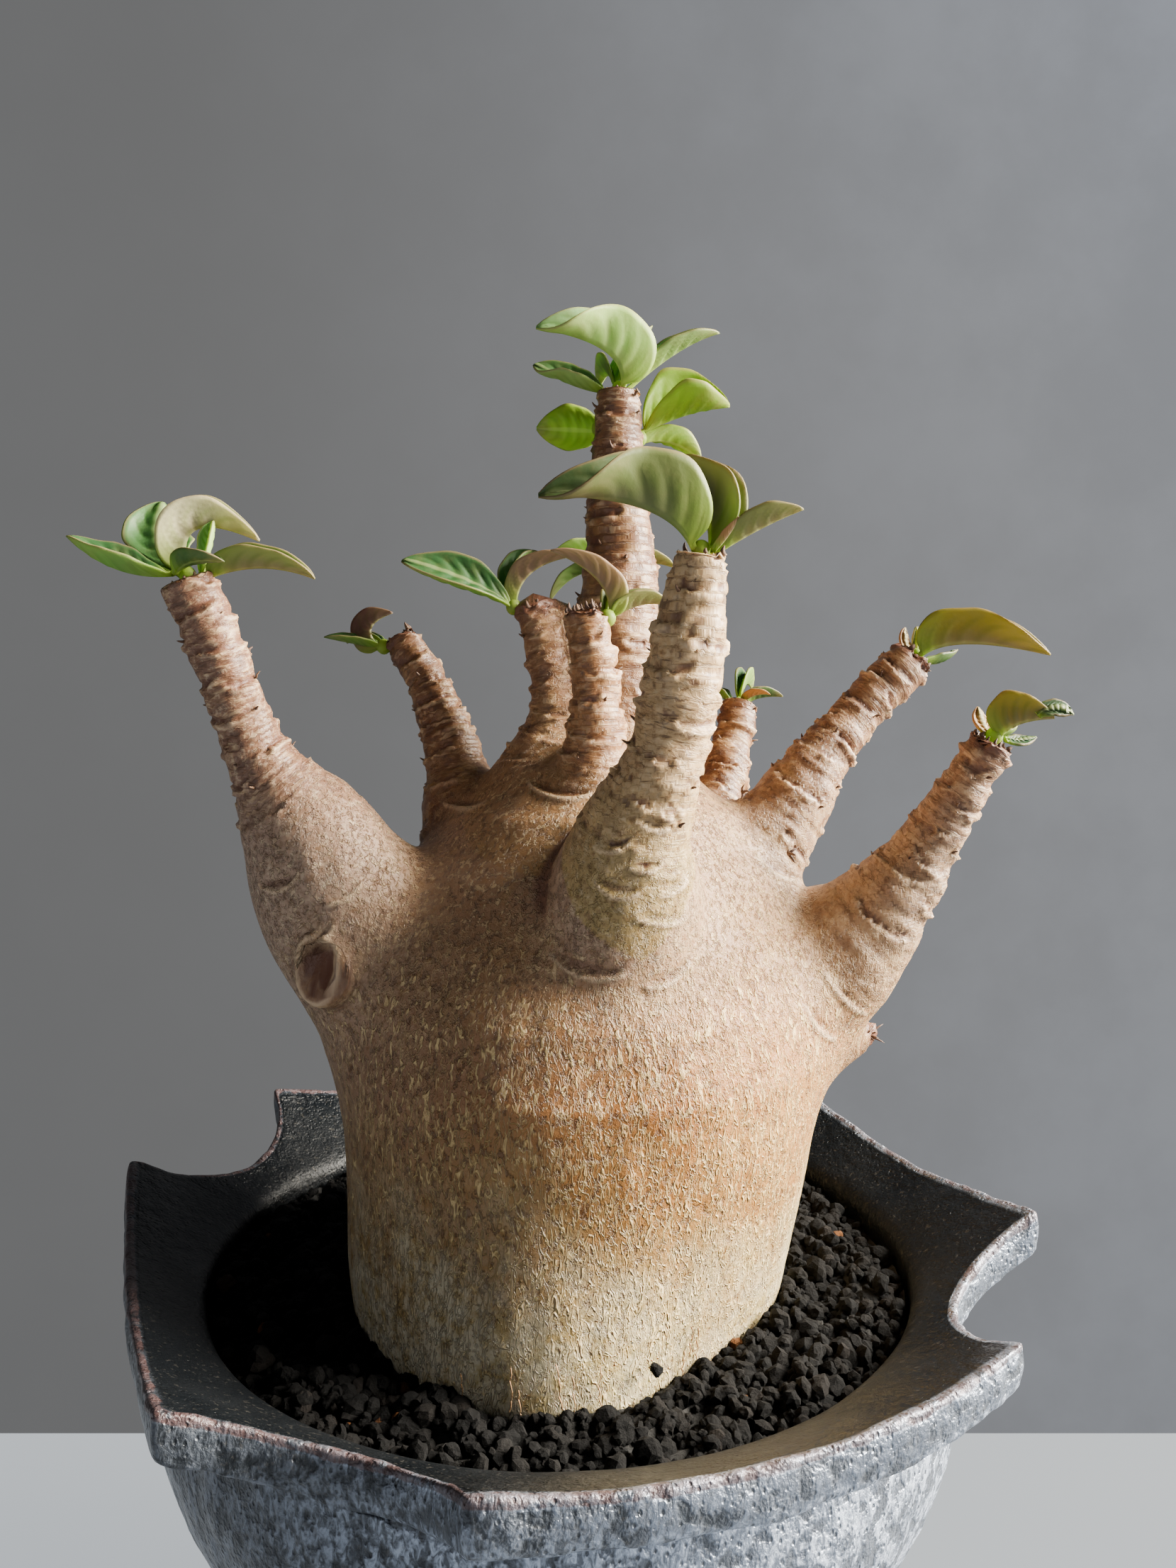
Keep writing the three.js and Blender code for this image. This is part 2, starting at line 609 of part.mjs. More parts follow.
// A blade folded up along its midrib: each station is a thick V, with its margins a little waved.
function leafSolid([foot, middle, tip, half, roll, opening, twist = 0], seed) {
  const [a, m, b] = [foot, middle, tip].map((p) => new THREE.Vector3(...p));
  const knee = m.clone().multiplyScalar(2).addScaledVector(a, -0.5).addScaledVector(b, -0.5);
  const midrib = new THREE.QuadraticBezierCurve3(a, knee, b);
  const level = new THREE.Vector3(b.x - a.x, b.y - a.y, 0).normalize();
  const across0 = level.cross(new THREE.Vector3(0, 0, 1));
  const random = seededRandom(seed);
  const phase = random() * 6;
  const rings = [];
  for (let i = 0; i <= LEAF_STEPS; i += 1) {
    const t = Math.min(0.985, i / LEAF_STEPS);
    const tangent = midrib.getTangent(t);
    const side = across0.clone().addScaledVector(tangent, -across0.dot(tangent)).normalize();
    const spread = THREE.MathUtils.smoothstep(t, 0.55, 1);
    side.applyAxisAngle(tangent, radians(roll + twist * spread));
    const up = side.clone().cross(tangent);
    const origin = midrib.getPoint(t);
    const width = Math.max(0.7, leafWidth(t, half, opening));
    const wave = 1 + 0.05 * Math.sin(phase + 9 * t);
    const open = radians(opening * (0.75 + 0.5 * t) + 0.5 * Math.abs(twist) * spread);
    const put = (across, height) => origin.clone()
      .addScaledVector(side, across)
      .addScaledVector(up, height);
    const wing = (reach, angle, inset) => [
      reach * Math.sin(angle) - inset * Math.cos(angle),
      reach * Math.cos(angle) + inset * Math.sin(angle),
    ];
    const thick = Math.min(LEAF_THICKNESS, width * 0.9);
    const [mx, mz] = wing(width * 0.5, open * 1.35, 0);
    const [ex, ez] = wing(width * wave, open, 0);
    const [ix, iz] = wing(width * wave, open, Math.min(thick, 0.8 * width * Math.sin(open)));
    const crease = Math.min(0.42 * width, thick / Math.sin(open));
    rings.push([
      put(0, 0),
      put(-mx, mz),
      put(-ex, ez),
      put(-ix, iz),
      put(0, crease),
      put(ix, iz),
      put(ex, ez),
      put(mx, mz),
    ]);
  }
  return loft(rings);
}

// The end of a branch, grown by the gap that a leaf's foot keeps to it.
function branchClearance(stations) {
  const from = 1 - CLEARANCE_LENGTH / branchLength(stations);
  const shares = [from, (1 + from) / 2, 1];
  const outside = (1 + RING_DEPTH) / Math.cos(Math.PI / SIDES);
  const rings = branchRings(stations, shares, (radius) => radius * outside + GAP);
  const past = rings[2][0].clone().sub(rings[1][0]).setLength(GAP);
  rings.push(rings[2].map((p) => p.clone().add(past)));
  return loft(rings);
}

// A rosette: its leaves' feet are sunk in a small bud, and all of it stays clear of the branch.
function makeRosette({ branch, place, leaves }, seed) {
  const bud = toSolid(new THREE.SphereGeometry(BUD_R, 6, 4).translate(0, 0, BUD_RISE));
  const fused = leaves.reduce((whole, leaf, i) => whole.add(leafSolid(leaf, seed * 31 + i)), bud);
  return largestShell(fused.translate(place).subtract(branchClearance(BRANCHES[branch])));
}

// ---- The object ---------------------------------------------------------------------------------

const stoneware = new THREE.MeshStandardMaterial({ color: 0x3a3d42, roughness: 0.42, metalness: 0.35 });
const granules = new THREE.MeshStandardMaterial({ color: 0x1f1b19, roughness: 0.95, metalness: 0 });
const bark = new THREE.MeshStandardMaterial({ color: 0xb08a62, roughness: 0.7, metalness: 0 });
const net = new THREE.MeshStandardMaterial({ color: 0x23262a, roughness: 0.6, metalness: 0 });
const leafGreen = new THREE.MeshStandardMaterial({ color: 0x7f9a55, roughness: 0.5, metalness: 0 });

const plant = new THREE.Group();
plant.add(toMesh(makePot(), 'pot', stoneware));
plant.add(toMesh(makeNet(), 'drain_mesh', net));
plant.add(toMesh(makeSoil(), 'soil', granules));
plant.add(toMesh(makeCaudex(), 'caudex', bark));
Object.entries(ROSETTES).forEach(([name, rosette], i) => {
  plant.add(toMesh(makeRosette(rosette, i + 1), name, leafGreen));
});

export default plant;
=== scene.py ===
"""A caudex plant in a dark stoneware pot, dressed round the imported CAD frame.

The pot, the swollen stem and the rosettes are rebuilt finely on the CAD's own dimensions, the soil
keeps its CAD solid under loose granules, and every surface has a procedural material.
Shapes are worked out in millimetres, in the CAD's frame, and become metres when a mesh is made.
"""
import math

import bpy
import numpy as np
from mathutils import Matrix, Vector
from mathutils.bvhtree import BVHTree


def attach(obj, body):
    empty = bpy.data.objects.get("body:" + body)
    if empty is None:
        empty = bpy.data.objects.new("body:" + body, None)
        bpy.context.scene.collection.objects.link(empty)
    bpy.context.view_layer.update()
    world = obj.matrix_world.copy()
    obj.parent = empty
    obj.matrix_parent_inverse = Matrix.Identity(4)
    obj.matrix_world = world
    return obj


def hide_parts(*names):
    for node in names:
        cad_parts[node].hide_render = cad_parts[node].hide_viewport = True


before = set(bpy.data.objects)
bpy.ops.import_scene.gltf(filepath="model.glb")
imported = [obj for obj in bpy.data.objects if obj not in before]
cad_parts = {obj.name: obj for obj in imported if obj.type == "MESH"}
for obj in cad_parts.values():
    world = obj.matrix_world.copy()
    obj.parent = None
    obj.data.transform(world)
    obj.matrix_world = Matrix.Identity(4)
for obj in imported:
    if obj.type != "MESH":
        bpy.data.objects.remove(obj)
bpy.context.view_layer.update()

MM = 0.001
Z = np.array([0.0, 0.0, 1.0])
RANDOM_SEED = 12

# ---- Camera and light ----

CAMERA_AT = (4.43, -178.65, 167.8)
CAMERA_TILT = 85.243  # degrees from straight down
LENS = 27.08
SENSOR_WIDTH = 36
# Each area light, in metres: name, place, what it is turned to, size, power, colour.
LIGHTS = [
    ("key", (0.80, 0.03, 0.50), (0, 0, 0.12), 0.62, 118, (1.0, 0.93, 0.80)),
    ("fill", (-0.45, -0.62, 0.33), (0, 0, 0.1), 0.6, 1.1, (0.95, 0.96, 1.0)),
    ("glint", (0.62, -0.36, 0.06), (0.03, -0.03, 0.07), 0.5, 1.6, (0.95, 0.97, 1.0)),
]
SKY_COLOUR = (0.75, 0.80, 0.88, 1)
SKY_STRENGTH = 0.035
FLOOR_CORNERS = ((-900, -900), (900, 74))
FLOOR_THICKNESS = 30
FLOOR_COLOUR = (0.60, 0.645, 0.69)
WALL_Y = 950
WALL_HALF = 2500
WALL_HEIGHTS = (-900, 1800)
# Painted light on the wall: the colour of its shaded left and of its lit right.
WALL_SHADED_LEFT = (0.122, 0.126, 0.132)
WALL_LIT_RIGHT = (0.405, 0.435, 0.500)

# ---- Pot ----

MOUTH_R = 53.0
MOUTH_Z = 80.0
MOUTH_BAND = 1.9  # how far the mouth's rounded edge runs out onto the rim
FUNNEL_SLOPE = 0.55
FLARE_THICKNESS = 6.5
NECK_R = 60.2
NECK_Z = 77.0
TIP_R = 72.0
TIP_SPREAD = 15.0
BITE_ANGLES = (67, 157, 249, 337)
BITE_R = 23.0
BITE_CENTRE_R = 83.0
SIDE_BULGES = (2, 1.5, 5, 1.5)
RIM_EDGE = 1.1  # how far the rim's edges are rounded
OUTLINE_STEP = 0.62
BOWL = [(NECK_R, NECK_Z), (60.3, 72), (NECK_R, 67), (59.2, 62), (57.6, 57), (55, 51), (52.4, 46),
        (50.2, 43.6), (48.6, 42.3), (47.4, 41.3), (47, 39.5), (46.6, 37), (43.2, 25), (39.5, 13),
        (36.6, 1.6), (36.2, 0.5), (35.4, 0)]
POT_INSIDE = [(32, 9), (36, 16), (42, 39), (48, 49), (51.5, 57), (53.8, 66), (53.1, 76)]
DRAINS = 3
DRAIN_R = 4.5
DRAIN_RING_R = 19.0
DRAIN_GROOVE = 2.5
FOOT_R = 36.0

# ---- Stem and branches ----

STEM_PROFILE = [(0, 38.5), (2, 39), (12, 41.5), (21, 48), (27, 60), (30.6, 70), (31.6, 76),
                (33, 85), (34.3, 96), (35.7, 106), (36.6, 115), (35.2, 124), (32, 132.5), (27, 141),
                (20.5, 149), (13, 155.5), (5, 159.5), (0, 161)]
STEM_LOW = np.array([1.7, -4.5])
STEM_HIGH = np.array([5.8, 1.5])
STEM_RISE = (70, 150)
STEM_LOBES = [(-96, 28, 5.9), (-48, 26, -3.0), (-150, 30, 1.6)]
LOBES_FADE = (66, 104)

# Stations of (x, y, z, radius) from inside the stem to the tip.
BRANCHES = {
    "left": [(-18, -6, 120, 15), (-28.5, -8, 131, 12), (-33, -8.5, 139, 11.4), (-36, -9, 146, 9.4),
             (-40, -10.5, 153, 6), (-43.5, -12, 161, 4.2), (-47.5, -14, 174, 3.8),
             (-50.5, -15, 182, 3.5)],
    "leftBack": [(-10, 6, 138, 9), (-15, 8, 147, 6.6), (-16.5, 10.5, 153, 4.8),
                 (-18.5, 12.5, 160, 4.1), (-21.5, 14.5, 168, 3.4), (-26.5, 16.5, 175.5, 3)],
    "middleLeft": [(-3, 3, 146, 9), (-3, 3, 154, 5.8), (-1, 3.5, 162, 3.6), (-1.5, 4, 169.5, 2.9),
                   (-4, 5, 179.5, 3)],
    "middle": [(5, -7, 148, 8), (5.2, -8.5, 155, 5.1), (5.7, -9, 161, 4.3), (5.3, -10, 170, 3.4),
               (4, -10, 178.5, 3)],
    "top": [(8, 4, 146, 11), (9, 6.5, 158, 7.8), (9.5, 8, 180, 6.2), (9.2, 9, 195, 4.9),
            (9.1, 10, 205, 3.9), (9.3, 10.5, 213.5, 3.4)],
    "front": [(8, -14, 123, 12), (8.5, -21.5, 132.5, 11), (9, -25, 140.5, 9.8),
              (10.5, -27.5, 148.5, 7.5), (14, -29.5, 158, 5.5), (16.5, -31, 170, 4.9),
              (18.3, -32, 184, 3.1)],
    "rightUpper": [(20, -1, 132, 11), (29, 0.5, 141, 7.4), (35, 2, 149, 6.2), (40, 3.5, 156, 4.6),
                   (47, 6, 163.7, 3.8), (55.5, 8, 172, 3.3)],
    "rightLower": [(26, -4, 118, 13), (39, -6, 126, 9.8), (43.5, -8, 131.5, 8.2),
                   (48, -9.5, 137.5, 6.2), (53, -11, 145, 4.4), (60.5, -15, 160, 3.1)],
    "back": [(16, 12, 132, 9), (22.5, 18, 142, 6), (27, 22, 150, 4.2), (29, 26, 156, 3.6),
             (31, 30, 164, 3)],
    "topBack": [(8, 13, 142, 9), (8.5, 19.5, 155, 5.2), (9.3, 23, 166, 4), (9.4, 28, 187, 3)],
    "driedStub": [(0, 5, 150, 4.5), (0.3, 5.5, 164, 2.6), (0, 6, 178, 1.8)],
    "lowRightStub": [(36, -4.5, 112, 4.2), (43, -4.5, 114, 2.4), (46.6, -4.4, 115.3, 1.3)],
    "prunedKnob": [(-26, -10, 126, 4.6), (-31.5, -20, 128.5, 4.2)],
}
SCARLESS = ("lowRightStub", "prunedKnob")
CUT_TIPS = ("leftBack", "middleLeft", "middle", "rightUpper", "rightLower", "lowRightStub")
BLEND = 1.7  # mm, how softly the branches grow out of the stem
OTHER_BLENDS = {"front": 1.4, "prunedKnob": 0.8, "middle": 1.1, "left": 3.2, "rightLower": 2.4}
# What colours a branch beside the common brown: at its base, further up, and how strongly.
BRANCH_TINTS = {"front": ((0.38, 0.29, 0.10), (0.58, 0.39, 0.19), 0.65),
                "left": ((0.37, 0.26, 0.195), (0.18, 0.088, 0.055), 0.7),
                "middle": ((0.40, 0.26, 0.06), (0.34, 0.16, 0.06), 0.6),
                "rightUpper": ((0.42, 0.29, 0.18), (0.32, 0.18, 0.10), 0.45),
                "rightLower": ((0.46, 0.32, 0.20), (0.34, 0.19, 0.11), 0.5)}
COARSE_VOXEL = 1.1
FINE_VOXEL = 0.47

# How high or deep the relief of the branches and the scars is, in millimetres.
RIDGE_HEIGHT = 0.5
HOLLOW_DEPTH = 0.34
RING_HEIGHT = 0.3
BULGE_HEIGHT = 0.28
LIP_HEIGHT = 0.34
LENS_DEPTH = 0.3
CREASE_DEPTH = 0.5
LEAF_TURN = 137.5  # degrees from one leaf to the next round a branch

# Old leaf scars on the swollen part: (place, half width, half height, tilt in degrees).
BODY_SCARS = [
    ((4.4, -34.6, 133.2), 5.4, 2.0, -12),
    ((14.5, -35.2, 131.4), 3.6, 1.2, 24),
    ((8.1, -36, 143.4), 3.2, 1.7, -14),
    ((11.5, -35, 146), 2.4, 1.1, 4),
    ((13.5, -36, 139), 3.6, 0.9, -8),
    ((15, -35, 142.8), 2.2, 0.8, 24),
    ((7.4, -34, 148.5), 2.8, 1.1, 12),
    ((12.5, -34, 151), 2.6, 0.9, -18),
    ((0.5, -16.5, 153.5), 5.0, 1.4, -6),
    ((-14, 1.5, 150.5), 4.2, 1.0, 12),
    ((-38.5, -18, 141.2), 3.4, 1.5, 14),
    ((-29, -20, 139.5), 3.0, 0.8, 30),
    ((-32.5, -20, 133.6), 3.2, 0.7, 36),
    ((26.5, -8, 139.5), 5.6, 0.9, -44),
    ((32, -6, 141.5), 4.4, 1.0, -34),
    ((41, -15, 124.5), 5.4, 0.9, -46),
    ((37, -17.5, 121.0), 4.4, 0.9, -50),
]
KNOB_AT = np.array([-31.9, -19.6, 128.9])
KNOB_AXIS = np.array([-0.47, -0.86, 0.21])
KNOB_R = (3.6, 4.5)  # of its rim, across and up
# Dark tufts apart from the leaf scars: each one's place and how many spikes it has.
TUFTS = [((46.6, -4.9, 115.3), 15), ((35.5, -1, 148), 4), ((33.5, -9, 143.5), 7),
         ((27.4, -4, 152), 4)]
SPIKE_SIDES = 5
ROOT_HAIRS = 9

# ---- Soil ----

SOIL_TOP = 82.0  # rays start here
GRAIN_COUNTS = {"granules": 2350, "granules_on_top": 2350}
GRAIN_R = (0.5, 1.15)
BIG_GRAIN_R = (1.1, 1.6)
STUCK_GRAIN = (13.0, -37.6, 82.5)

# ---- Leaves ----

LEAF_STEPS = 34
WING_STEPS = 9
PETIOLE_HALF = 0.9
CLAW_OPENING = 25  # a blade folded tighter than this tapers like a claw, and others are spoons
LEAF_THICKNESS = 0.8
VEINS = 7.0  # pairs of lateral veins
VEIN_SWEEP = 1.7  # how far the veins run towards the tip, in their own spacing
QUILT_HEIGHT = 0.2
BUD_AT = (0, 0, 0.4)
BUD_R = (1.2, 1.2, 1.3)
BUD_TINT = "bright"

# Each tint: under side, upper side.
TINTS = {
    "green": ((0.24, 0.40, 0.09), (0.045, 0.135, 0.04)),
    "mint": ((0.46, 0.66, 0.19), (0.26, 0.46, 0.17)),
    "pale": ((0.34, 0.50, 0.15), (0.09, 0.20, 0.06)),
    "bright": ((0.27, 0.44, 0.035), (0.21, 0.36, 0.02)),
    "fresh": ((0.20, 0.36, 0.09), (0.10, 0.25, 0.075)),
    "olive": ((0.33, 0.34, 0.12), (0.11, 0.17, 0.04)),
    "sage": ((0.17, 0.215, 0.062), (0.08, 0.14, 0.045)),
    "dusky": ((0.24, 0.235, 0.125), (0.15, 0.17, 0.08)),
    "beige": ((0.88, 0.80, 0.48), (0.20, 0.26, 0.10)),
    "pink": ((0.42, 0.26, 0.15), (0.12, 0.14, 0.05)),
    "maroon": ((0.17, 0.075, 0.06), (0.06, 0.05, 0.025)),
    "amber": ((0.32, 0.27, 0.032), (0.18, 0.16, 0.025)),
    "blush": ((0.50, 0.26, 0.10), (0.36, 0.20, 0.07)),
    "dark": ((0.08, 0.16, 0.045), (0.025, 0.085, 0.028)),
}

# Each rosette: its node, its place, and its leaves as (foot, middle of the midrib, tip, half width,
# roll, opening, tint), with the twist of the tip last if there is one. A leaf's points are measured
# from the rosette's place.
ROSETTES = [
    ("leaves_left", (-50.5, -15, 182.5), [
        ((-1.6, -0.6, 0.2), (-9, -2, 1), (-15.3, -3, 5.4), 3.9, -18, 40, "green"),
        ((-1, 1.5, 0), (-5.4, 4.2, 5.2), (-5.4, 7, 11.4), 4.8, -8, 80, "fresh"),
        ((0, 1.5, 0), (0.5, 2.5, 6.8), (9.3, 3, 5.2), 5, 10, 16, "beige"),
        ((2, 0.5, 0), (3, 1.5, 4.8), (3, 2.5, 8.2), 2.2, 0, 34, "mint"),
        ((2, 0, -0.5), (10, -1, 1.2), (18, -2, -0.4), 3.6, 14, 20, "olive"),
        ((-1.2, -1.4, 0.2), (2, -4.5, 1.7), (7, -6.2, 1.6), 2.5, -14, 58, "dark")]),
    ("leaves_left_back", (-29, 15.8, 173.8), [
        ((0, 0, 0), (-4.8, -1, 0.8), (-9.5, -1.8, 1.8), 2, -20, 36, "green"),
        ((0, 0, 0), (-1.8, -1, 3.2), (1.8, -0.8, 5.8), 3.6, 0, 18, "maroon"),
        ((0, 1, 0), (-3, 3, 1.5), (-7, 4.5, 1), 1.8, 0, 40, "dark")]),
    ("leaves_middle_left", (-7, 4.5, 179.5), [
        ((0, 0, 0), (-7.6, -2.5, 4), (-16.8, -3.5, 7), 4.2, -48, 56, "green"),
        ((0.5, -0.3, 0), (3, -1.5, 5.5), (10.8, -3, 7.9), 2.8, 6, 16, "pink"),
        ((0.3, 0.8, 0), (0.5, 3, 5.6), (4.2, 5.5, 8.8), 3.4, 0, 30, "fresh"),
        ((-0.3, 0.8, 0), (-6.5, 4, 3.4), (-12.4, 6, 5.2), 1.8, 0, 30, "dark")]),
    ("leaves_middle", (7.2, -10.4, 177), [
        ((0, 0, 0), (-1.4, -0.8, 5.4), (-8.2, -1.6, 9.6), 3.3, 0, 16, "pink"),
        ((0.4, 0.3, 0), (4.8, 1, 2.2), (9.2, 2, 2), 2.6, 12, 22, "olive"),
        ((-0.2, 0.9, 0), (0.6, 4, 3), (2.5, 7, 4.5), 2.2, 0, 30, "olive")]),
    ("leaves_top", (9.3, 10.5, 213.7), [
        ((0, -1.6, 0), (-2.4, -3.5, 5.2), (-13, -5.5, 8), 7.2, 0, 15, "mint", -60),
        ((1.4, 0.5, 0), (9, 0.8, 6), (15.8, 0.5, 9), 3.8, 16, 46, "pale"),
        ((-1.8, 0.5, -0.3), (-7.6, 1.5, 1.4), (-13.6, 2.5, 4.8), 3.8, -22, 44, "pale", -30),
        ((0.6, 1.6, 0), (3.2, 3.5, 6), (5.5, 5, 11.5), 2.4, 0, 34, "green"),
        ((-0.6, 1.7, 0), (-1.5, 6.5, 4), (-3, 12, 3.5), 4, 0, 26, "green")]),
    ("leaf_top_lower_left", (6.2, 13, 208.2), [
        ((0.8, -0.6, -0.4), (-4, 2, 0.6), (-10.2, 3, 1), 4.1, 68, 62, "bright")]),
    ("leaves_top_lower_right", (12.6, 12.8, 206.6), [
        ((0.2, 0.2, 0.9), (7.4, 1.4, 4.2), (14.6, 1.4, 5.6), 9.4, 22, 46, "bright"),
        ((-0.4, -0.4, -0.8), (5, 2.4, 0.2), (10.2, 4.4, -2.2), 3, -30, 46, "bright")]),
    ("leaves_top_back", (9.4, 28, 187.4), [
        ((-1.4, -0.4, 0), (-5.4, -1, 2.6), (-10.8, -1.6, 3), 3.6, 0, 34, "mint"),
        ((-1.4, 0.6, 0), (-7, 1.4, -0.6), (-11.5, 0.8, -5), 2.8, 0, 40, "fresh"),
        ((1.4, 0.4, 0), (5.2, 1, 1.6), (10.2, 1.6, 0.8), 2.8, 0, 30, "olive"),
        ((0.2, 1.5, 0), (1, 6, 4.6), (2, 12, 5), 4, 0, 20, "green")]),
    ("leaves_front", (18.3, -32, 184), [
        ((-1.2, -0.8, 0), (-7.3, -3, 4.9), (-20, -5, 6), 7.4, 0, 14, "sage", -60),
        ((0.8, 0.6, 0), (-0.6, 4, 6.6), (-8, 6.5, 9), 6.4, 0, 12, "dusky"),
        ((1.8, 0, -0.3), (7, -1, 2.7), (12.3, -2, 5), 3.2, 10, 27, "olive"),
        ((1, 1.5, -0.2), (4.8, 3, 1.9), (8, 4, 3.6), 1.6, 0, 40, "mint"),
        ((1.6, -1, 0), (3.4, -1.6, 2.2), (4.4, -2, 4.2), 1, 0, 30, "blush")]),
    ("leaves_right_upper", (56, 8, 172), [
        ((0.4, -1.2, 0), (7.2, -2.4, 2.2), (20.2, -3, 0.4), 6.1, 0, 15, "amber", 30),
        ((-0.6, 0.4, 0), (-1.7, 1, 2.6), (-1.3, 1.4, 5), 1.4, 0, 75, "blush"),
        ((0.2, 1.2, 0), (0.5, 1.8, 2.8), (0.6, 2.2, 5.2), 1.1, 0, 34, "beige"),
        ((1.2, 0.8, -0.4), (4.7, 3, -0.6), (8.2, 5, 1.6), 2.2, -10, 50, "dark"),
        ((0.6, 1.6, 0), (3, 6, 2.6), (5, 11, 1.2), 3, 0, 24, "green")]),
    ("leaves_right_lower", (60.8, -15, 160.5), [
        ((0.6, -0.8, 0), (2.8, -2, 2), (7.2, -3, 2.8), 5, 0, 15, "amber"),
        ((4.8, -2.8, 3.2), (7.2, -2.8, 4.2), (9.8, -2.8, 3.4), 1.5, 60, 76, "dark"),
        ((-0.4, 0.6, 0), (-1.4, 1.8, 2), (-1.5, 2.6, 4.4), 1.7, 0, 75, "blush"),
        ((1.4, 0.3, -0.4), (3.8, 0.9, -0.6), (6.4, 1.4, 0.2), 1.3, 40, 66, "dark"),
        ((0.8, 1.2, 0), (3, 1.8, 0.6), (4, 2.2, 1.8), 1, 0, 40, "pale")]),
    ("leaves_back", (31, 30, 164.2), [
        ((1.2, 0.2, 0), (4, 1.2, 1.4), (8.2, 2, 1.6), 2.4, 0, 30, "dark"),
        ((-1, 0.6, 0), (-2.8, 2.4, 1.6), (-3.8, 3.6, 2.6), 1.8, 0, 26, "green"),
        ((0.4, -1, 0), (2.4, -2.4, 1.8), (5.2, -3, 2), 1.6, 0, 36, "blush"),
        ((0.2, 1.4, 0), (2, 6, 3.6), (4, 12, 2.6), 3.6, 0, 20, "green")]),
]

# ---- Numbers and meshes ----


def smoothstep(low, high, x):
    t = np.clip((x - low) / (high - low), 0, 1)
    return t * t * (3 - 2 * t)


def lerp(a, b, t):
    return a + (b - a) * t


def unit(v):
    return v / np.maximum(np.linalg.norm(v, axis=-1, keepdims=True), 1e-12)


def noise(points, size, seed=0):
    """Smooth random values between -1 and 1 that change over about this size."""
    p = points / size + 13.7 * seed
    cell = np.floor(p).astype(np.int64)
    f = p - cell
    f = f * f * (3 - 2 * f)
    total = np.zeros(len(p))
    for corner in np.ndindex(2, 2, 2):
        c = cell + corner
        h = (c[:, 0] * 73856093) ^ (c[:, 1] * 19349663) ^ (c[:, 2] * 83492791)
        h = ((h ^ (h >> 13)) * 1274126177) & 0x7FFFFFFF
        value = ((h ^ (h >> 16)) & 0xFFFF) / 32767.5 - 1
        total += value * np.prod(np.where(corner, f, 1 - f), axis=1)
    return total


def spline(rows, per_span=12):
    """A smooth curve through rows of any width, as a table of points."""
    p = np.array(rows, float)
    p = np.vstack([2 * p[0] - p[1], p, 2 * p[-1] - p[-2]])
    out = []
    for i in range(1, len(p) - 2):
        t = np.linspace(0, 1, per_span, endpoint=False)[:, None]
        a, b, c, d = p[i - 1:i + 3]
        out.append(0.5 * (2 * b + (c - a) * t + (2 * a - 5 * b + 4 * c - d) * t ** 2
                          + (3 * b - a - 3 * c + d) * t ** 3))
    return np.vstack([*out, p[-2][None]])


def resample(points, step):
    """The polyline's points, spaced evenly by about this step."""
    length = np.r_[0, np.cumsum(np.linalg.norm(np.diff(points, axis=0), axis=1))]
    at = np.linspace(0, length[-1], max(2, int(round(length[-1] / step)) + 1))
    return np.stack([np.interp(at, length, column) for column in points.T], axis=1)


def add_object(name, data):
    piece = bpy.data.objects.new(name, data)
    bpy.context.collection.objects.link(piece)
    return piece


def make_object(name, points, faces, material, smooth=True):
    """A mesh object from points in millimetres."""
    mesh = bpy.data.meshes.new(name)
    corners = [[int(i) for i in face] for face in faces]
    mesh.from_pydata((np.asarray(points) * MM).tolist(), [], corners)
    mesh.validate()
    mesh.polygons.foreach_set("use_smooth", np.full(len(mesh.polygons), smooth))
    mesh.materials.append(material)
    return add_object(name, mesh)


def set_values(mesh, name, values):
    """A number for each vertex, or a colour for each, that the materials read by name."""
    values = np.asarray(values, np.float32)
    if values.ndim == 1:
        mesh.attributes.new(name, "FLOAT", "POINT").data.foreach_set("value", values)
    else:
        rgba = np.c_[values, np.ones(len(values), np.float32)]
        mesh.attributes.new(name, "FLOAT_COLOR", "POINT").data.foreach_set("color", rgba.ravel())


def read_rows(collection, key):
    rows = np.empty(3 * len(collection), np.float32)
    collection.foreach_get(key, rows)
    return rows.reshape(-1, 3).astype(float)


def get_points(mesh):
    return read_rows(mesh.vertices, "co") / MM


def get_normals(mesh):
    return read_rows(mesh.vertex_normals, "vector")


def set_points(mesh, points):
    mesh.vertices.foreach_set("co", (points * MM).astype(np.float32).ravel())
    mesh.update()


def apply_modifiers(piece):
    """Replaces the object's mesh by what its modifiers make of it."""
    graph = bpy.context.evaluated_depsgraph_get()
    made = bpy.data.meshes.new_from_object(piece.evaluated_get(graph))
    piece.modifiers.clear()
    piece.data = made


def loft_faces(rings, sectors):
    """Quads between rings of points that follow each other, each ring closed on itself."""
    i, j = np.meshgrid(np.arange(rings - 1), np.arange(sectors), indexing="ij")
    a = i * sectors + j
    b = i * sectors + (j + 1) % sectors
    return np.stack([a, b, b + sectors, a + sectors], axis=-1).reshape(-1, 4)


def closed_loft(rings, first, last):
    """Points and faces of rings that follow each other, with a fan to a point at either end."""
    count, sectors = len(rings), len(rings[0])
    start = count * sectors
    end = start - sectors
    faces = loft_faces(count, sectors).tolist()
    faces += [((j + 1) % sectors, j, start) for j in range(sectors)]
    faces += [(end + j, end + (j + 1) % sectors, start + 1) for j in range(sectors)]
    return np.vstack([*rings, first, last]), faces


def joined(shapes):
    """The points and the faces of several shapes as one."""
    starts = np.cumsum([0] + [len(points) for points, _ in shapes]).tolist()
    faces = [[i + start for i in face]
             for (_, shape), start in zip(shapes, starts) for face in shape]
    return np.vstack([points for points, _ in shapes]), faces


# ---- Materials ----


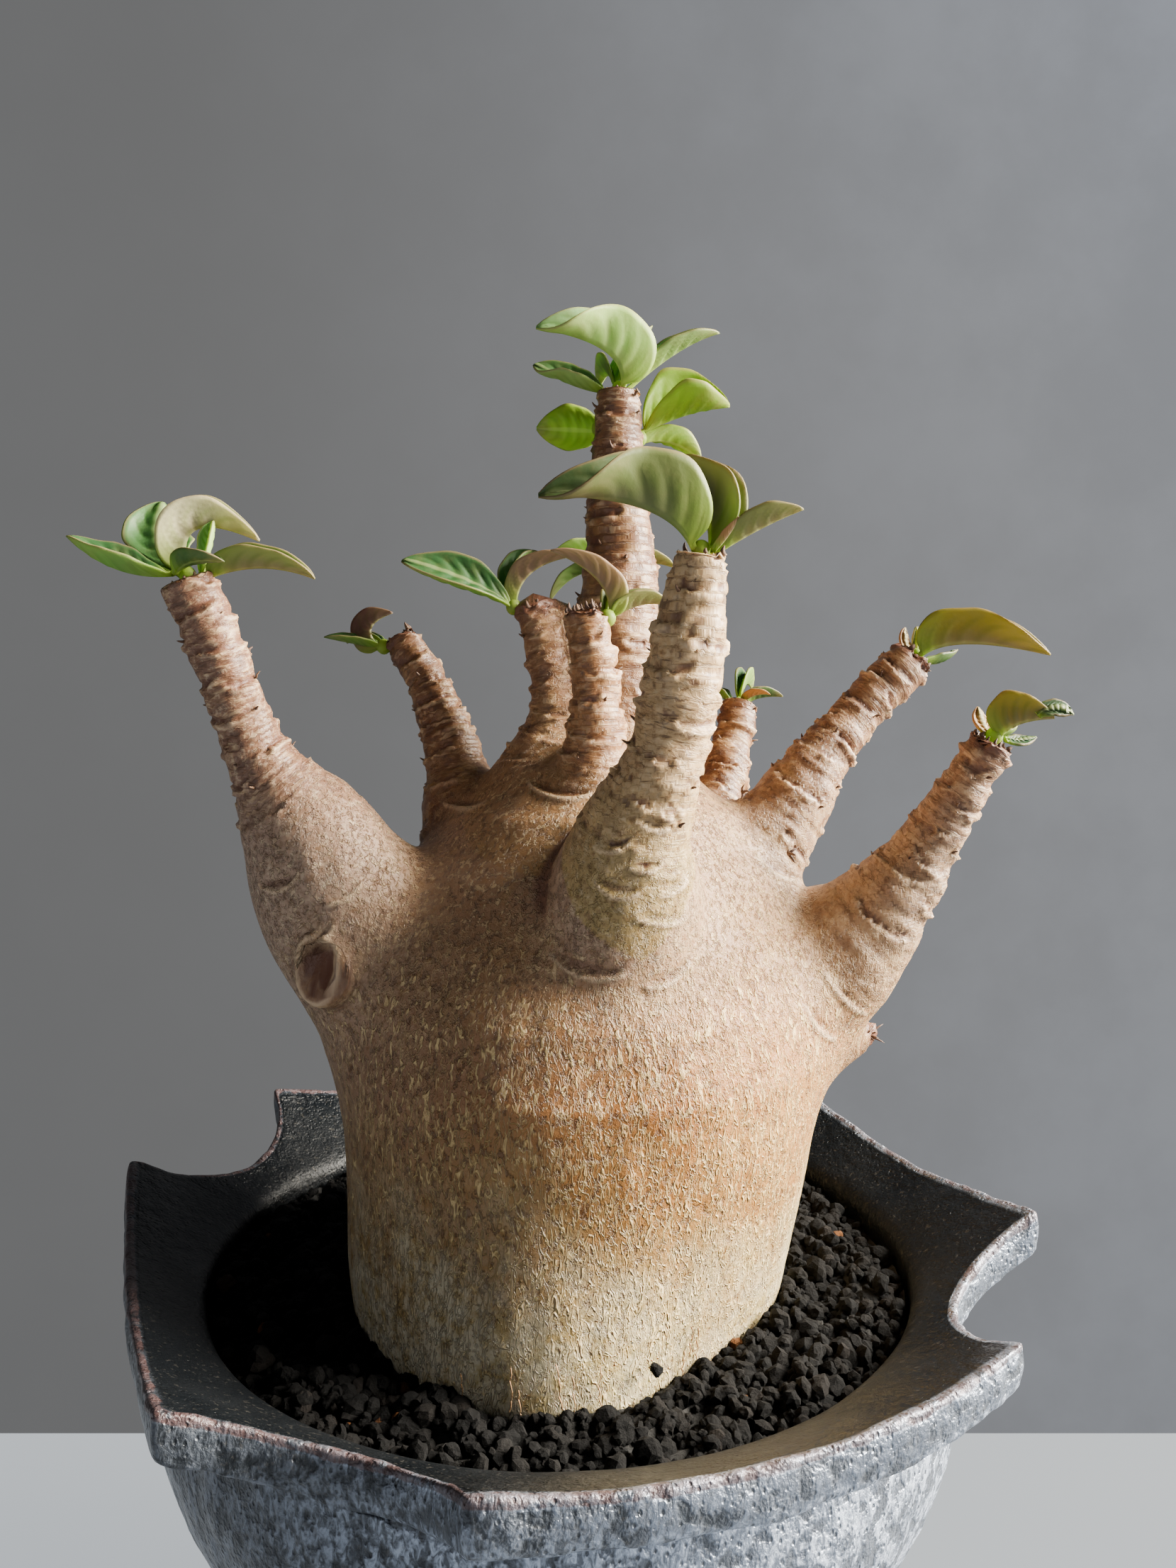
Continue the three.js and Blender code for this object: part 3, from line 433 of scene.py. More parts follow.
class Graph:
    """A material's nodes. Each call adds a node or two and returns the output that is used next."""

    def __init__(self, name):
        self.material = bpy.data.materials.new(name)
        self.material.use_nodes = True
        self.tree = self.material.node_tree
        self.tree.nodes.clear()
        self.place = self.node("ShaderNodeTexCoord", "Object")

    def node(self, kind, output, inputs=None, **settings):
        made = self.tree.nodes.new(kind)
        for key, value in settings.items():
            setattr(made, key, value)
        for key, value in (inputs or {}).items():
            socket = made.inputs[key]
            if isinstance(value, bpy.types.NodeSocket):
                self.tree.links.new(value, socket)
            elif isinstance(value, tuple) and len(value) == 3 and socket.type == "RGBA":
                socket.default_value = (*value, 1)
            else:
                socket.default_value = value
        return made.outputs[output]

    def math(self, operation, *values):
        return self.node("ShaderNodeMath", 0, dict(enumerate(values)), operation=operation)

    def times(self, a, b):
        return self.math("MULTIPLY", a, b)

    def plus(self, a, b):
        return self.math("ADD", a, b)

    def map(self, value, low, high, to_low=0.0, to_high=1.0, shape="SMOOTHSTEP"):
        inputs = {"Value": value, "From Min": low, "From Max": high, "To Min": to_low,
                  "To Max": to_high}
        return self.node("ShaderNodeMapRange", "Result", inputs, interpolation_type=shape)

    def mix(self, share, a, b, blend="MIX"):
        return self.node("ShaderNodeMix", 2, {0: share, 6: a, 7: b}, data_type="RGBA",
                         blend_type=blend)

    def layers(self, colour, *coats):
        """Coats laid over a colour one after another, each as (how strongly, colour)."""
        for share, coat in coats:
            colour = self.mix(share, colour, coat)
        return colour

    def darker(self, colour, factors):
        return self.mix(1.0, colour, factors, "MULTIPLY")

    def value(self, name):
        return self.node("ShaderNodeAttribute", "Fac", attribute_name=name)

    def colour(self, name):
        return self.node("ShaderNodeAttribute", "Color", attribute_name=name)

    def scaled(self, upright):
        """The place on the object, with its height scaled so that what is drawn on it stretches."""
        return self.node("ShaderNodeMapping", 0, {"Vector": self.place, "Scale": (1, 1, upright)})

    def axis(self, name):
        return self.node("ShaderNodeSeparateXYZ", name, {"Vector": self.place})

    def height(self):
        return self.axis("Z")

    def side(self):
        return self.axis("X")

    def redness(self, colour):
        """How much red a colour has beside its green."""
        parts = self.tree.nodes.new("ShaderNodeSeparateColor")
        self.tree.links.new(colour, parts.inputs[0])
        return self.math("DIVIDE", parts.outputs[0], parts.outputs[1])

    def ringed(self, along, stretch):
        """The place, pressed together along a branch, so that noise on it lies round the branch."""
        across = [self.math("DIVIDE", self.axis(name), stretch) for name in "XY"]
        return self.node("ShaderNodeCombineXYZ", 0,
                         {"X": self.times(along, MM), "Y": across[0], "Z": across[1]})

    def noise(self, size, detail=4.0, rough=0.55, distort=0.0, vector=None):
        """Noise whose features are about this many millimetres across."""
        inputs = {"Vector": vector or self.place, "Scale": 1 / (size * MM), "Detail": detail,
                  "Roughness": rough, "Distortion": distort}
        return self.node("ShaderNodeTexNoise", 0, inputs)

    def cells(self, size, vector):
        """How far each place is from the nearest of scattered points, from 0 to about 1."""
        inputs = {"Vector": vector, "Scale": 1 / (size * MM)}
        return self.node("ShaderNodeTexVoronoi", "Distance", inputs)

    def ramp(self, value, *stops):
        made = self.tree.nodes.new("ShaderNodeValToRGB")
        while len(made.color_ramp.elements) < len(stops):
            made.color_ramp.elements.new(0.5)
        for element, (position, colour) in zip(made.color_ramp.elements, stops):
            element.position = position
            element.color = (*colour, 1)
        self.tree.links.new(value, made.inputs[0])
        return made.outputs[0]

    def bump(self, height, depth, strength=1.0, normal=None):
        """Relief this many millimetres deep for a height from 0 to 1."""
        inputs = {"Height": height, "Distance": depth * MM, "Strength": strength}
        if normal:
            inputs["Normal"] = normal
        return self.node("ShaderNodeBump", 0, inputs)

    def principled(self, **inputs):
        named = {key.replace("_", " "): value for key, value in inputs.items()}
        return self.node("ShaderNodeBsdfPrincipled", 0, named)

    def finish(self, shader):
        output = self.tree.nodes.new("ShaderNodeOutputMaterial")
        self.tree.links.new(shader, output.inputs["Surface"])
        return self.material


def glaze_material():
    """Gunmetal glaze: hammered silver on the rim and the bowl, mauve on the worn edges, and painted
    light that dims the silver on the pot's left and brightens it on its right.
    """
    g = Graph("gunmetal_glaze")
    rim = g.value("rim")
    edge = g.value("edge")
    plain = g.value("plain")
    cloud = g.noise(11, 5, 0.6)
    streaks = g.noise(0.8, 4, 0.6, 0.8, g.scaled(0.5))
    pits = g.map(g.cells(0.95, g.scaled(0.7)), 0.08, 0.34)
    open_pits = g.times(pits, g.map(g.noise(2.6, 3), 0.34, 0.56))
    sparkle = g.noise(0.42, 3, 0.6)
    body = g.ramp(cloud, (0.3, (0.0015, 0.0026, 0.0040)), (0.5, (0.0030, 0.0042, 0.0056)),
                  (0.7, (0.0040, 0.0052, 0.0068)))
    share = g.times(g.map(rim, 0, 0.5), g.map(rim, 0.6, 1.0, 1, 0.6))
    # Painted light: the silver is cut back on the pot's left as painted shade, and laid fuller and
    # brighter on its right.
    share = g.times(share, g.map(g.side(), -0.045, 0.03, 0.16, 1))
    painted_light_right = g.map(g.side(), -0.01, 0.045, 0.2, 0.6)
    silver = g.times(g.map(streaks, 0.40, 0.60, painted_light_right, 1.0, "LINEAR"), share)
    silver = g.times(silver, g.map(open_pits, 0, 1, 0.25, 1))
    freckle = g.map(g.noise(0.8, 2), 0.60, 0.70)
    worn = g.times(g.math("SUBTRACT", g.noise(2.4, 5, 0.65), 0.5), 1.8)
    mauve = g.map(g.plus(edge, worn), 0.70, 1.0)
    body = g.layers(body,
                    (g.times(silver, 0.95), (0.68, 0.77, 0.94)),
                    (g.times(freckle, 0.2), (0.12, 0.11, 0.095)),
                    (g.times(mauve, 0.6), (0.085, 0.045, 0.042)))
    rough = g.plus(g.map(cloud, 0.3, 0.7, 0.26, 0.38), g.times(plain, 0.12))
    rough = g.plus(rough, g.times(silver, 0.05))
    metal = g.times(g.map(silver, 0, 0.5, 0.3, 0.93), g.map(silver, 0.5, 0.95, 1, 0.62))
    metal = g.times(metal, g.map(mauve, 0, 1, 1, 0.4))
    hammered = g.noise(2.6, 3, 0.5, 0, g.scaled(0.7))
    relief = g.plus(g.times(streaks, 0.5), g.times(open_pits, 0.4))
    relief = g.plus(relief, g.times(hammered, 1.2))
    relief = g.times(relief, g.map(plain, 0, 1, 1, 0.35))
    normal = g.bump(relief, 0.5, 1.0)
    normal = g.bump(sparkle, 0.18, 0.8, normal)
    return g.finish(g.principled(Base_Color=body, Metallic=metal, Roughness=rough, Normal=normal,
                                 Specular_IOR_Level=0.32))


def bark_material():
    """The stem's skin: pale ridges on orange brown, speckles above, wrinkled brown branches."""
    g = Graph("caudex_skin")
    branch = g.value("branch")
    scar = g.value("scar")
    cloud = g.noise(16, 5, 0.6)
    high = g.plus(g.height(), g.times(g.math("SUBTRACT", cloud, 0.5), 0.035))
    blotch = g.noise(4.5, 5, 0.65)
    tall = g.scaled(0.34)
    mark = None
    for size, width, offset in ((1.15, 0.045, 0.5), (0.9, 0.042, 0.45)):
        worms = g.noise(size, 1.5, 0.5, 0.8, tall)
        line = g.map(g.math("ABSOLUTE", g.math("SUBTRACT", worms, offset)), 0.0, width, 1, 0)
        mark = g.math("MAXIMUM", mark, line) if mark else line
    lines = g.times(mark, g.map(g.noise(1.6, 2, 0.5, 0, g.scaled(0.6)), 0.30, 0.46))
    flecks = g.map(g.noise(0.7, 1.5, 0.5, 0.6, g.scaled(0.36)), 0.57, 0.65)
    specks = g.map(g.noise(0.85, 3, 0.7, 0.3), 0.53, 0.61)
    pores = g.map(g.noise(1.0, 4, 0.7, 0, g.scaled(0.7)), 0.47, 0.37)
    middle = g.map(high, 0.098, 0.124)
    upper = g.map(high, 0.122, 0.142)
    mark = g.mix(middle, lines, g.math("MAXIMUM", flecks, g.times(lines, 0.35)))
    mark = g.mix(upper, mark, specks)
    base = g.ramp(g.map(high, 0.070, 0.170), (0.0, (0.33, 0.26, 0.10)), (0.10, (0.34, 0.24, 0.09)),
                  (0.22, (0.34, 0.175, 0.038)), (0.42, (0.30, 0.110, 0.017)),
                  (0.62, (0.28, 0.128, 0.040)), (0.85, (0.28, 0.155, 0.075)))
    # Painted shade: the middle of the stem is darkened brown on its left side, less so towards the
    # crown.
    left_painted_shade = g.times(g.map(g.side(), 0.014, -0.018), g.map(high, 0.088, 0.104))
    left_painted_shade = g.times(left_painted_shade, g.map(high, 0.150, 0.130, 0.3, 1))
    pale = g.mix(upper, (0.82, 0.60, 0.26), (0.64, 0.45, 0.23))
    # Frost on the foot, partly real and partly painted light: it is laid on more thickly on the
    # shaded left, to lighten it.
    frost_and_painted_light = g.times(g.map(high, 0.108, 0.080), g.map(g.noise(3.6, 6, 0.75), 0.34, 0.60))
    frost_and_painted_light = g.times(frost_and_painted_light, g.map(g.side(), 0.012, -0.016, 0.42, 0.95))
    twig = g.ramp(blotch, (0.32, (0.085, 0.032, 0.014)), (0.5, (0.17, 0.074, 0.030)),
                  (0.68, (0.28, 0.16, 0.066)))
    stain = g.noise(1.1, 4, 0.65)
    tint = g.mix(g.map(stain, 0.34, 0.5), g.darker(g.colour("tint"), (0.48, 0.42, 0.36)),
                 g.colour("tint"))
    tint = g.mix(g.map(stain, 0.52, 0.68, 0, 0.45), tint, (0.76, 0.62, 0.42))
    rings = g.noise(0.62, 4, 0.6, 0.5, g.ringed(g.value("along"), 4))
    skin = g.layers(base,
                    (g.map(cloud, 0.35, 0.75, 0, 0.5), (0.18, 0.064, 0.013)),
                    (g.map(blotch, 0.50, 0.72, 0, 0.4), (0.44, 0.27, 0.09)),
                    # painted shade on the stem's left
                    (g.times(left_painted_shade, 0.5), (0.17, 0.085, 0.034)),
                    (g.times(pores, 0.7), (0.10, 0.036, 0.010)),
                    (g.times(mark, 0.68), pale),
                    # frost, with painted light on the shaded left
                    (frost_and_painted_light, (0.60, 0.545, 0.40)),
                    (branch, twig),
                    (g.value("tinted"), tint),
                    (g.times(branch, g.map(rings, 0.5, 0.68, 0, 0.55)), (0.52, 0.36, 0.20)),
                    (g.times(branch, g.map(rings, 0.48, 0.34, 0, 0.75)), (0.085, 0.038, 0.020)),
                    (g.map(scar, 0.15, 1.0, 0, 0.65), (0.62, 0.45, 0.28)),
                    # Dark scars and cut tips, and the painted shade in the front branch's crease.
                    (g.map(scar, -0.1, -0.9, 0, 0.88), (0.11, 0.042, 0.024)))
    grit = g.math("SUBTRACT", g.times(g.noise(0.8, 4, 0.65), 0.7), g.times(pores, 0.5))
    wrinkle = g.mix(branch, g.plus(g.times(mark, 0.8), grit), rings)
    normal = g.bump(wrinkle, 0.40, 1.0)
    return g.finish(g.principled(Base_Color=skin, Roughness=0.45, Normal=normal,
                                 Subsurface_Weight=0.06, Subsurface_Radius=(0.6, 0.25, 0.12),
                                 Subsurface_Scale=0.003, Specular_IOR_Level=0.42))


def leaf_material():
    """Fleshy leaf: quilted between its veins, a thin margin, and light through the blade."""
    g = Graph("fleshy_leaf")
    under = g.colour("under")
    upper = g.colour("upper")
    face = g.value("face")
    across = g.value("across")
    along = g.value("along")
    edge = g.math("ABSOLUTE", across)
    mottle = g.noise(2.2, 5, 0.6)
    young = (0.34, 0.50, 0.06)
    grown = g.mix(g.map(along, 0.02, 0.45), young, under)
    grown = g.mix(g.times(g.map(along, 0.55, 1.0), g.map(mottle, 0.3, 0.6, 0.1, 0.45)),
                  grown, (0.40, 0.29, 0.17))
    blade = g.mix(face, g.mix(g.map(along, 0.0, 0.2), young, upper), grown)
    blade = g.mix(g.map(mottle, 0.40, 0.72, 0, 0.22), blade, (0.30, 0.26, 0.10))
    flow = g.math("SUBTRACT", g.times(along, VEINS), g.times(g.times(edge, edge), VEIN_SWEEP))
    vein = g.map(g.math("PINGPONG", flow, 0.5), 0.0, 0.36, 1, 0)
    vein = g.times(vein, g.map(edge, 0.92, 0.55))
    midrib = g.map(edge, 0.04, 0.13, 1, 0)
    warm = g.map(g.redness(under), 0.72, 0.88)
    tinge = g.times(g.map(edge, 0.0, 0.55, 0.5, 0), g.map(along, 0.12, 0.4))
    margin = g.times(g.map(edge, 0.93, 0.995), g.map(along, 0.15, 0.5))
    blade = g.mix(g.times(tinge, warm), blade, (0.30, 0.235, 0.175))
    blade = g.layers(blade,
                     # The veins are darkened: partly their own darker green, partly painted shade
                     # in the furrows between the quilted bulges.
                     (g.times(vein, 0.55), g.darker(blade, (0.66, 0.76, 0.52))),
                     (g.times(midrib, 0.35), (0.52, 0.60, 0.24)),
                     (g.times(margin, 0.35), (0.46, 0.24, 0.16)))
    relief = g.plus(g.times(vein, -0.35), g.times(mottle, 0.8))
    normal = g.bump(relief, 0.14, 0.7)
    solid = g.principled(Base_Color=blade, Roughness=0.46, Normal=normal, Specular_IOR_Level=0.35)
    through = g.darker(blade, (0.95, 1.0, 0.42))
    glow = g.node("ShaderNodeBsdfTranslucent", 0, {"Color": through, "Normal": normal})
    return g.finish(g.node("ShaderNodeMixShader", 0, {0: 0.46, 1: solid, 2: glow}))


def grain_material():
    g = Graph("granules")
    tone = g.value("tone")
    shade = g.ramp(tone, (0.0, (0.0010, 0.0010, 0.0012)), (0.5, (0.0022, 0.0021, 0.0023)),
                   (0.9, (0.0055, 0.0048, 0.0045)), (0.994, (0.010, 0.008, 0.007)),
                   (0.998, (0.15, 0.06, 0.02)))
    crumb = g.noise(0.5, 5, 0.75)
    shade = g.mix(g.map(crumb, 0.50, 0.75, 0, 0.5), shade, (0.011, 0.0105, 0.010))
    normal = g.bump(crumb, 0.5, 1.0)
    return g.finish(g.principled(Base_Color=shade, Roughness=0.85, Normal=normal,
                                 Specular_IOR_Level=0.14))


def bed_material():
    """What shows of the soil between its granules."""
    g = Graph("soil_bed")
    crumb = g.noise(1.2, 6, 0.7)
    shade = g.ramp(crumb, (0.35, (0.002, 0.002, 0.002)), (0.7, (0.010, 0.009, 0.008)))
    return g.finish(g.principled(Base_Color=shade, Roughness=0.95, Normal=g.bump(crumb, 0.6)))


def net_material():
    g = Graph("net_plastic")
    grain = g.noise(0.3, 2)
    shade = g.mix(grain, (0.018, 0.020, 0.022), (0.030, 0.033, 0.036))
    return g.finish(g.principled(Base_Color=shade, Roughness=0.55, Normal=g.bump(grain, 0.03)))


def fibre_material():
    """Old stipules and root hairs."""
    g = Graph("dry_fibre")
    shade = g.mix(g.value("tone"), (0.075, 0.035, 0.022), (0.40, 0.22, 0.09))
    shade = g.mix(g.times(g.noise(0.6, 3), 0.5), shade, (0.05, 0.028, 0.02))
    return g.finish(g.principled(Base_Color=shade, Roughness=0.7))


def floor_material():
    """A pale table top, faintly clouded. Nearly all that shows of it is light of its own."""
    g = Graph("pale_floor")
    shade = g.mix(g.noise(220, 3), tuple(c * 0.94 for c in FLOOR_COLOUR), FLOOR_COLOUR)
    dull = g.darker(shade, (0.04, 0.04, 0.04))
    return g.finish(g.principled(Base_Color=dull, Roughness=0.8, Specular_IOR_Level=0.1,
                                 Emission_Color=shade, Emission_Strength=1.0))


def wall_material():
    """A grey wall with a light of its own so that it reads evenly, and painted light that makes it
    lighter to the right and higher up.
    """
    g = Graph("grey_wall")
    # Painted light: the wall is made lighter to the right and higher up.
    right = g.times(g.map(g.side(), -0.45, 0.95), g.map(g.height(), 0.2, 1.1, 0.5, 1))
    shade = g.mix(right, WALL_SHADED_LEFT, WALL_LIT_RIGHT)
    cloud = g.times(g.map(g.noise(150, 7, 0.6), 0.3, 0.7), 0.25)
    shade = g.mix(cloud, shade, tuple(c * 0.88 for c in WALL_SHADED_LEFT))
    return g.finish(g.principled(Base_Color=(0.004, 0.004, 0.004), Roughness=1.0,
                                 Emission_Color=shade, Emission_Strength=1.0))


# ---- Pot ----


def polar(radius, degrees):
    return radius * np.array([math.cos(math.radians(degrees)), math.sin(math.radians(degrees))])


def rim_outline():
    """Angle and radius round the rim seen from above: four bowed sides between four round bites."""
    runs = []
    for i, bite in enumerate(BITE_ANGLES):
        centre = polar(BITE_CENTRE_R, bite)
        into = polar(TIP_R, bite - TIP_SPREAD) - centre
        half = math.degrees(math.atan2(into[1], into[0])) - bite - 180
        half = (half + 180) % 360 - 180
        runs.append([centre + polar(BITE_R, bite + 180 + half * t) for t in np.linspace(1, -1, 60)])
        out = polar(TIP_R, bite + TIP_SPREAD)
        following = polar(TIP_R, BITE_ANGLES[(i + 1) % 4] - TIP_SPREAD)
        middle = (out + following) / 2
        bowed = middle * (1 + 2 * SIDE_BULGES[i] / np.linalg.norm(middle))
        t = np.linspace(0, 1, 60)[1:-1, None]
        runs.append((1 - t) ** 2 * out + 2 * t * (1 - t) * bowed + t ** 2 * following)
    points = resample(np.vstack([*runs, runs[0][:1]]), OUTLINE_STEP)[:-1]
    for _ in range(3):
        points = (np.roll(points, 1, axis=0) + 2 * points + np.roll(points, -1, axis=0)) / 4
    return np.arctan2(points[:, 1], points[:, 0]), np.hypot(points[:, 0], points[:, 1])


def round_edge(before, corner, after, steps=5):
    """Rings of (radius, height) round an edge, as arrays along the rim."""
    for t in np.linspace(0, 1, steps):
        yield tuple((1 - t) ** 2 * a + 2 * t * (1 - t) * b + t * t * c
                    for a, b, c in zip(before, corner, after))


def make_pot(material):
    """The pot as rings of (radius, height, rim, edge, plain), from its inside over the rim."""
    angle, rim_r = rim_outline()
    around = np.stack([np.cos(angle), np.sin(angle)], axis=1)
    where = np.c_[around * 60, np.zeros(len(angle))]
    wave = noise(where, 14, 1) + 0.5 * noise(where, 5, 2)
    whole = np.ones(len(angle))

    def top_z(r):
        return MOUTH_Z + (r - MOUTH_R) * FUNNEL_SLOPE + 0.25 * wave * smoothstep(MOUTH_R, 60, r)

    thickness = FLARE_THICKNESS + 0.35 * noise(where, 8, 3) + 0.2 * noise(where, 3, 4)

    def low_z(r):
        return top_z(r) - thickness

    band_r = MOUTH_R + MOUTH_BAND
    rings = [(r * whole, z * whole, 0, 0, 1) for r, z in POT_INSIDE]
    for r, z in round_edge(((MOUTH_R + 0.05) * whole, (MOUTH_Z - 1.6) * whole),
                           (MOUTH_R * whole, top_z(MOUTH_R * whole)),
                           (band_r * whole, top_z(band_r * whole))):
        rings.append((r, z, 0, 0.15, 1))
    inner = rim_r - RIM_EDGE
    for t in np.linspace(0, 1, 14)[1:-1]:
        r = lerp(band_r, inner, t)
        rings.append((r, top_z(r), 0, smoothstep(0.9, 1, t) * 0.5, 1 - 0.6 * t))
    for r, z in round_edge((inner, top_z(inner)), (rim_r, top_z(rim_r)),
                           (rim_r, top_z(rim_r) - RIM_EDGE), 6):
        rings.append((r, z, 0.3, 1, 0))
    for t in np.linspace(0, 1, 10)[1:-1]:
        z = lerp(top_z(rim_r) - RIM_EDGE, low_z(rim_r) + RIM_EDGE, t)
        rings.append((rim_r + 0.25 * math.sin(math.pi * t), z, 1, max(0, 0.8 - 4 * t), 0))
    neck = np.minimum(NECK_R, rim_r - 0.35)
    tuck = np.minimum(RIM_EDGE, (rim_r - neck) * 0.6)
    for r, z in round_edge((rim_r, low_z(rim_r) + RIM_EDGE), (rim_r, low_z(rim_r)),
                           (rim_r - tuck, low_z(rim_r - tuck))):
        rings.append((r, z, 0.8, 0.4, 0))
    for t in np.linspace(0, 1, 6)[1:-1]:
        r = lerp(rim_r - tuck, neck, t)
        rings.append((r, low_z(r), 0.4, 0, 0))
    bowl = resample(spline(BOWL, 8), 1.15)
    for r, z in bowl:
        near = smoothstep(66, NECK_Z, z)
        under = low_z(neck) * near + (1 - near) * z
        height = np.minimum(z, under - 0.02 * (NECK_Z - z)) if z > 66 else z * whole
        lower = 0.7 * float(smoothstep(42.5, 40, z))
        rings.append((r + (neck - r) * near, height, 0.6 * (1 - lower), 0, lower))

    shape = closed_loft([np.c_[around * r[:, None], z] for r, z, *_ in rings],
                        (0, 0, POT_INSIDE[0][1]), (0, 0, 0))
    pot = make_object("glazed_pot", *shape, material)
    values = {name: np.concatenate([np.broadcast_to(ring[k], len(angle)) for ring in rings]
                                   + [np.full(2, name == "plain")])
              for k, name in enumerate(("rim", "edge", "plain"), 2)}
    for name, value in values.items():
        set_values(pot.data, name, value)
    points = get_points(pot.data)
    outside = smoothstep(0.02, 0.3, values["rim"])
    dents = 0.28 * noise(points, 9, 5) + 0.14 * noise(points, 3.4, 6) * outside
    fine = 0.12 * noise(points * (1, 1, 0.5), 1.5, 7) * outside
    flat = np.where(points[:, 2] < 2, 0, 1)
    set_points(pot.data, points + get_normals(pot.data) * ((dents + fine) * flat)[:, None])
    cut_drains(pot)
    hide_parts("pot")
    return pot


def cut_drains(pot):
    """Drain holes in the floor, each with a groove across the foot."""
    cutters = []
    for i in range(DRAINS):
        turn = 90 + 360 / DRAINS * i
        hole = (*polar(DRAIN_RING_R * MM, turn), 0)
        groove = (*polar((DRAIN_RING_R + FOOT_R / 2) * MM, turn), 0)
        bpy.ops.mesh.primitive_cylinder_add(vertices=40, radius=DRAIN_R * MM, depth=30 * MM,
                                            location=hole)
        cutters.append(bpy.context.object)
        bpy.ops.mesh.primitive_cube_add(size=1, rotation=(0, 0, math.radians(turn)),
                                        location=groove)
        cutters.append(bpy.context.object)
        bpy.context.object.scale = (FOOT_R * MM, DRAIN_R * MM, 2 * DRAIN_GROOVE * MM)
    for cutter in cutters:
        cut = pot.modifiers.new("cut", "BOOLEAN")
        cut.operation = "DIFFERENCE"
        cut.solver = "MANIFOLD"
        cut.object = cutter
    apply_modifiers(pot)
    for cutter in cutters:
        bpy.data.objects.remove(cutter)


# ---- Stem ----


def stem_axis(z):
    rise = smoothstep(*STEM_RISE, z)[:, None]
    return STEM_LOW + (STEM_HIGH - STEM_LOW) * rise


def stem_distance(points):
    """Distance to the swollen stem's surface, and its direction."""
    offset = points[:, :2] - stem_axis(points[:, 2])
    out = np.hypot(offset[:, 0], offset[:, 1])
    r, z = np.array(STEM_PROFILE, float).T
    radius = np.interp(points[:, 2], z, r)
    slope = (np.interp(points[:, 2] + 1.5, z, r) - np.interp(points[:, 2] - 1.5, z, r)) / 3
    angle = np.degrees(np.arctan2(offset[:, 1], offset[:, 0]))
    fade = 1 - smoothstep(*LOBES_FADE, points[:, 2])
    for place, width, amount in STEM_LOBES:
        away = (angle - place + 180) % 360 - 180
        radius = radius + radius / 33 * fade * amount * np.exp(-(away / width) ** 2)
    tilt = 1 / np.sqrt(1 + slope ** 2)
    above = np.maximum(points[:, 2] - z[-1], z[0] - points[:, 2])
    distance = np.maximum((out - radius) * tilt, above)
    direction = np.c_[offset / np.maximum(out, 1e-6)[:, None], -slope] * tilt[:, None]
    return distance, unit(direction)


class Branch:
    """A branch's centre line, with each point's place along it and round it."""

    def __init__(self, rows):
        self.path = spline(rows, 10)
        steps = np.linalg.norm(np.diff(self.path[:, :3], axis=0), axis=1)
        self.at = np.r_[0, np.cumsum(steps)]
        self.length = self.at[-1]

    def locate(self, points):
        """Each point's distance to the surface, its direction, its place along and the radius."""
        best = np.full(len(points), np.inf)
        direction = np.zeros_like(points)
        along = np.zeros(len(points))
        radius = np.zeros(len(points))
        for i in range(len(self.path) - 1):
            a, b = self.path[i, :3], self.path[i + 1, :3]
            span = b - a
            t = np.clip((points - a) @ span / (span @ span), 0, 1)
            away = points - (a + t[:, None] * span)
            far = np.linalg.norm(away, axis=1)
            r = lerp(self.path[i, 3], self.path[i + 1, 3], t)
            closer = far - r < best
            best[closer] = (far - r)[closer]
            direction[closer] = away[closer] / np.maximum(far[closer], 1e-6)[:, None]
            along[closer] = lerp(self.at[i], self.at[i + 1], t)[closer]
            radius[closer] = r[closer]
        return best, direction, along, radius

    def point(self, s):
        return np.array([np.interp(s, self.at, self.path[:, k]) for k in range(4)])

    def frame(self, s):
        """The direction along the branch, and two directions across it."""
        tangent = unit(self.point(min(s + 0.5, self.length))[:3] - self.point(max(s - 0.5, 0))[:3])
        u = unit(np.cross((0.0, 1.0, 0.0), tangent))
        return tangent, u, np.cross(tangent, u)


def grown_surface(points, branches):
    """Distance to the whole grown surface, its direction, and each branch's share of it."""
    distance, direction = stem_distance(points)
    shares = []
    for name, branch in branches.items():
        d, away, _, _ = branch.locate(points)
        soft = OTHER_BLENDS.get(name, BLEND)
        apart = np.clip((d - distance) / soft, -40, 40)
        own = 1 / (1 + np.exp(apart))
        distance = np.minimum(distance, d) - soft * np.log1p(np.exp(-np.abs(apart)))
        direction = unit(lerp(direction, away, own[:, None]))
        shares = [share * (1 - own) for share in shares] + [own]
    return distance, direction, np.array(shares)


def settle(mesh, branches, rounds):
    """Moves every vertex onto the grown surface."""
    points = get_points(mesh)
    for _ in range(rounds):
        distance, direction, _ = grown_surface(points, branches)
        points -= direction * np.clip(distance, -1.5, 1.5)[:, None]
    set_points(mesh, points)


def remesh(piece, voxel):
    modifier = piece.modifiers.new("remesh", "REMESH")
    modifier.mode = "VOXEL"
    modifier.voxel_size = voxel * MM
    apply_modifiers(piece)


def scar_places(branch):
    """The leaf scars of a branch, from its tip down: place along, turn, half width and drop."""
    rng = np.random.default_rng(int(branch.length * 100))
    s, turn = branch.length - 0.8, 0.0
    while s > 4:
        radius = branch.point(s)[3]
        yield s, turn, radius * rng.uniform(0.75, 1.35), 0.4 + 0.16 * radius * rng.uniform(0.6, 1.3)
        s -= (0.75 + 0.27 * radius) * rng.uniform(0.75, 1.3)
        turn = (turn + math.radians(LEAF_TURN + rng.uniform(-18, 18))) % (2 * math.pi)


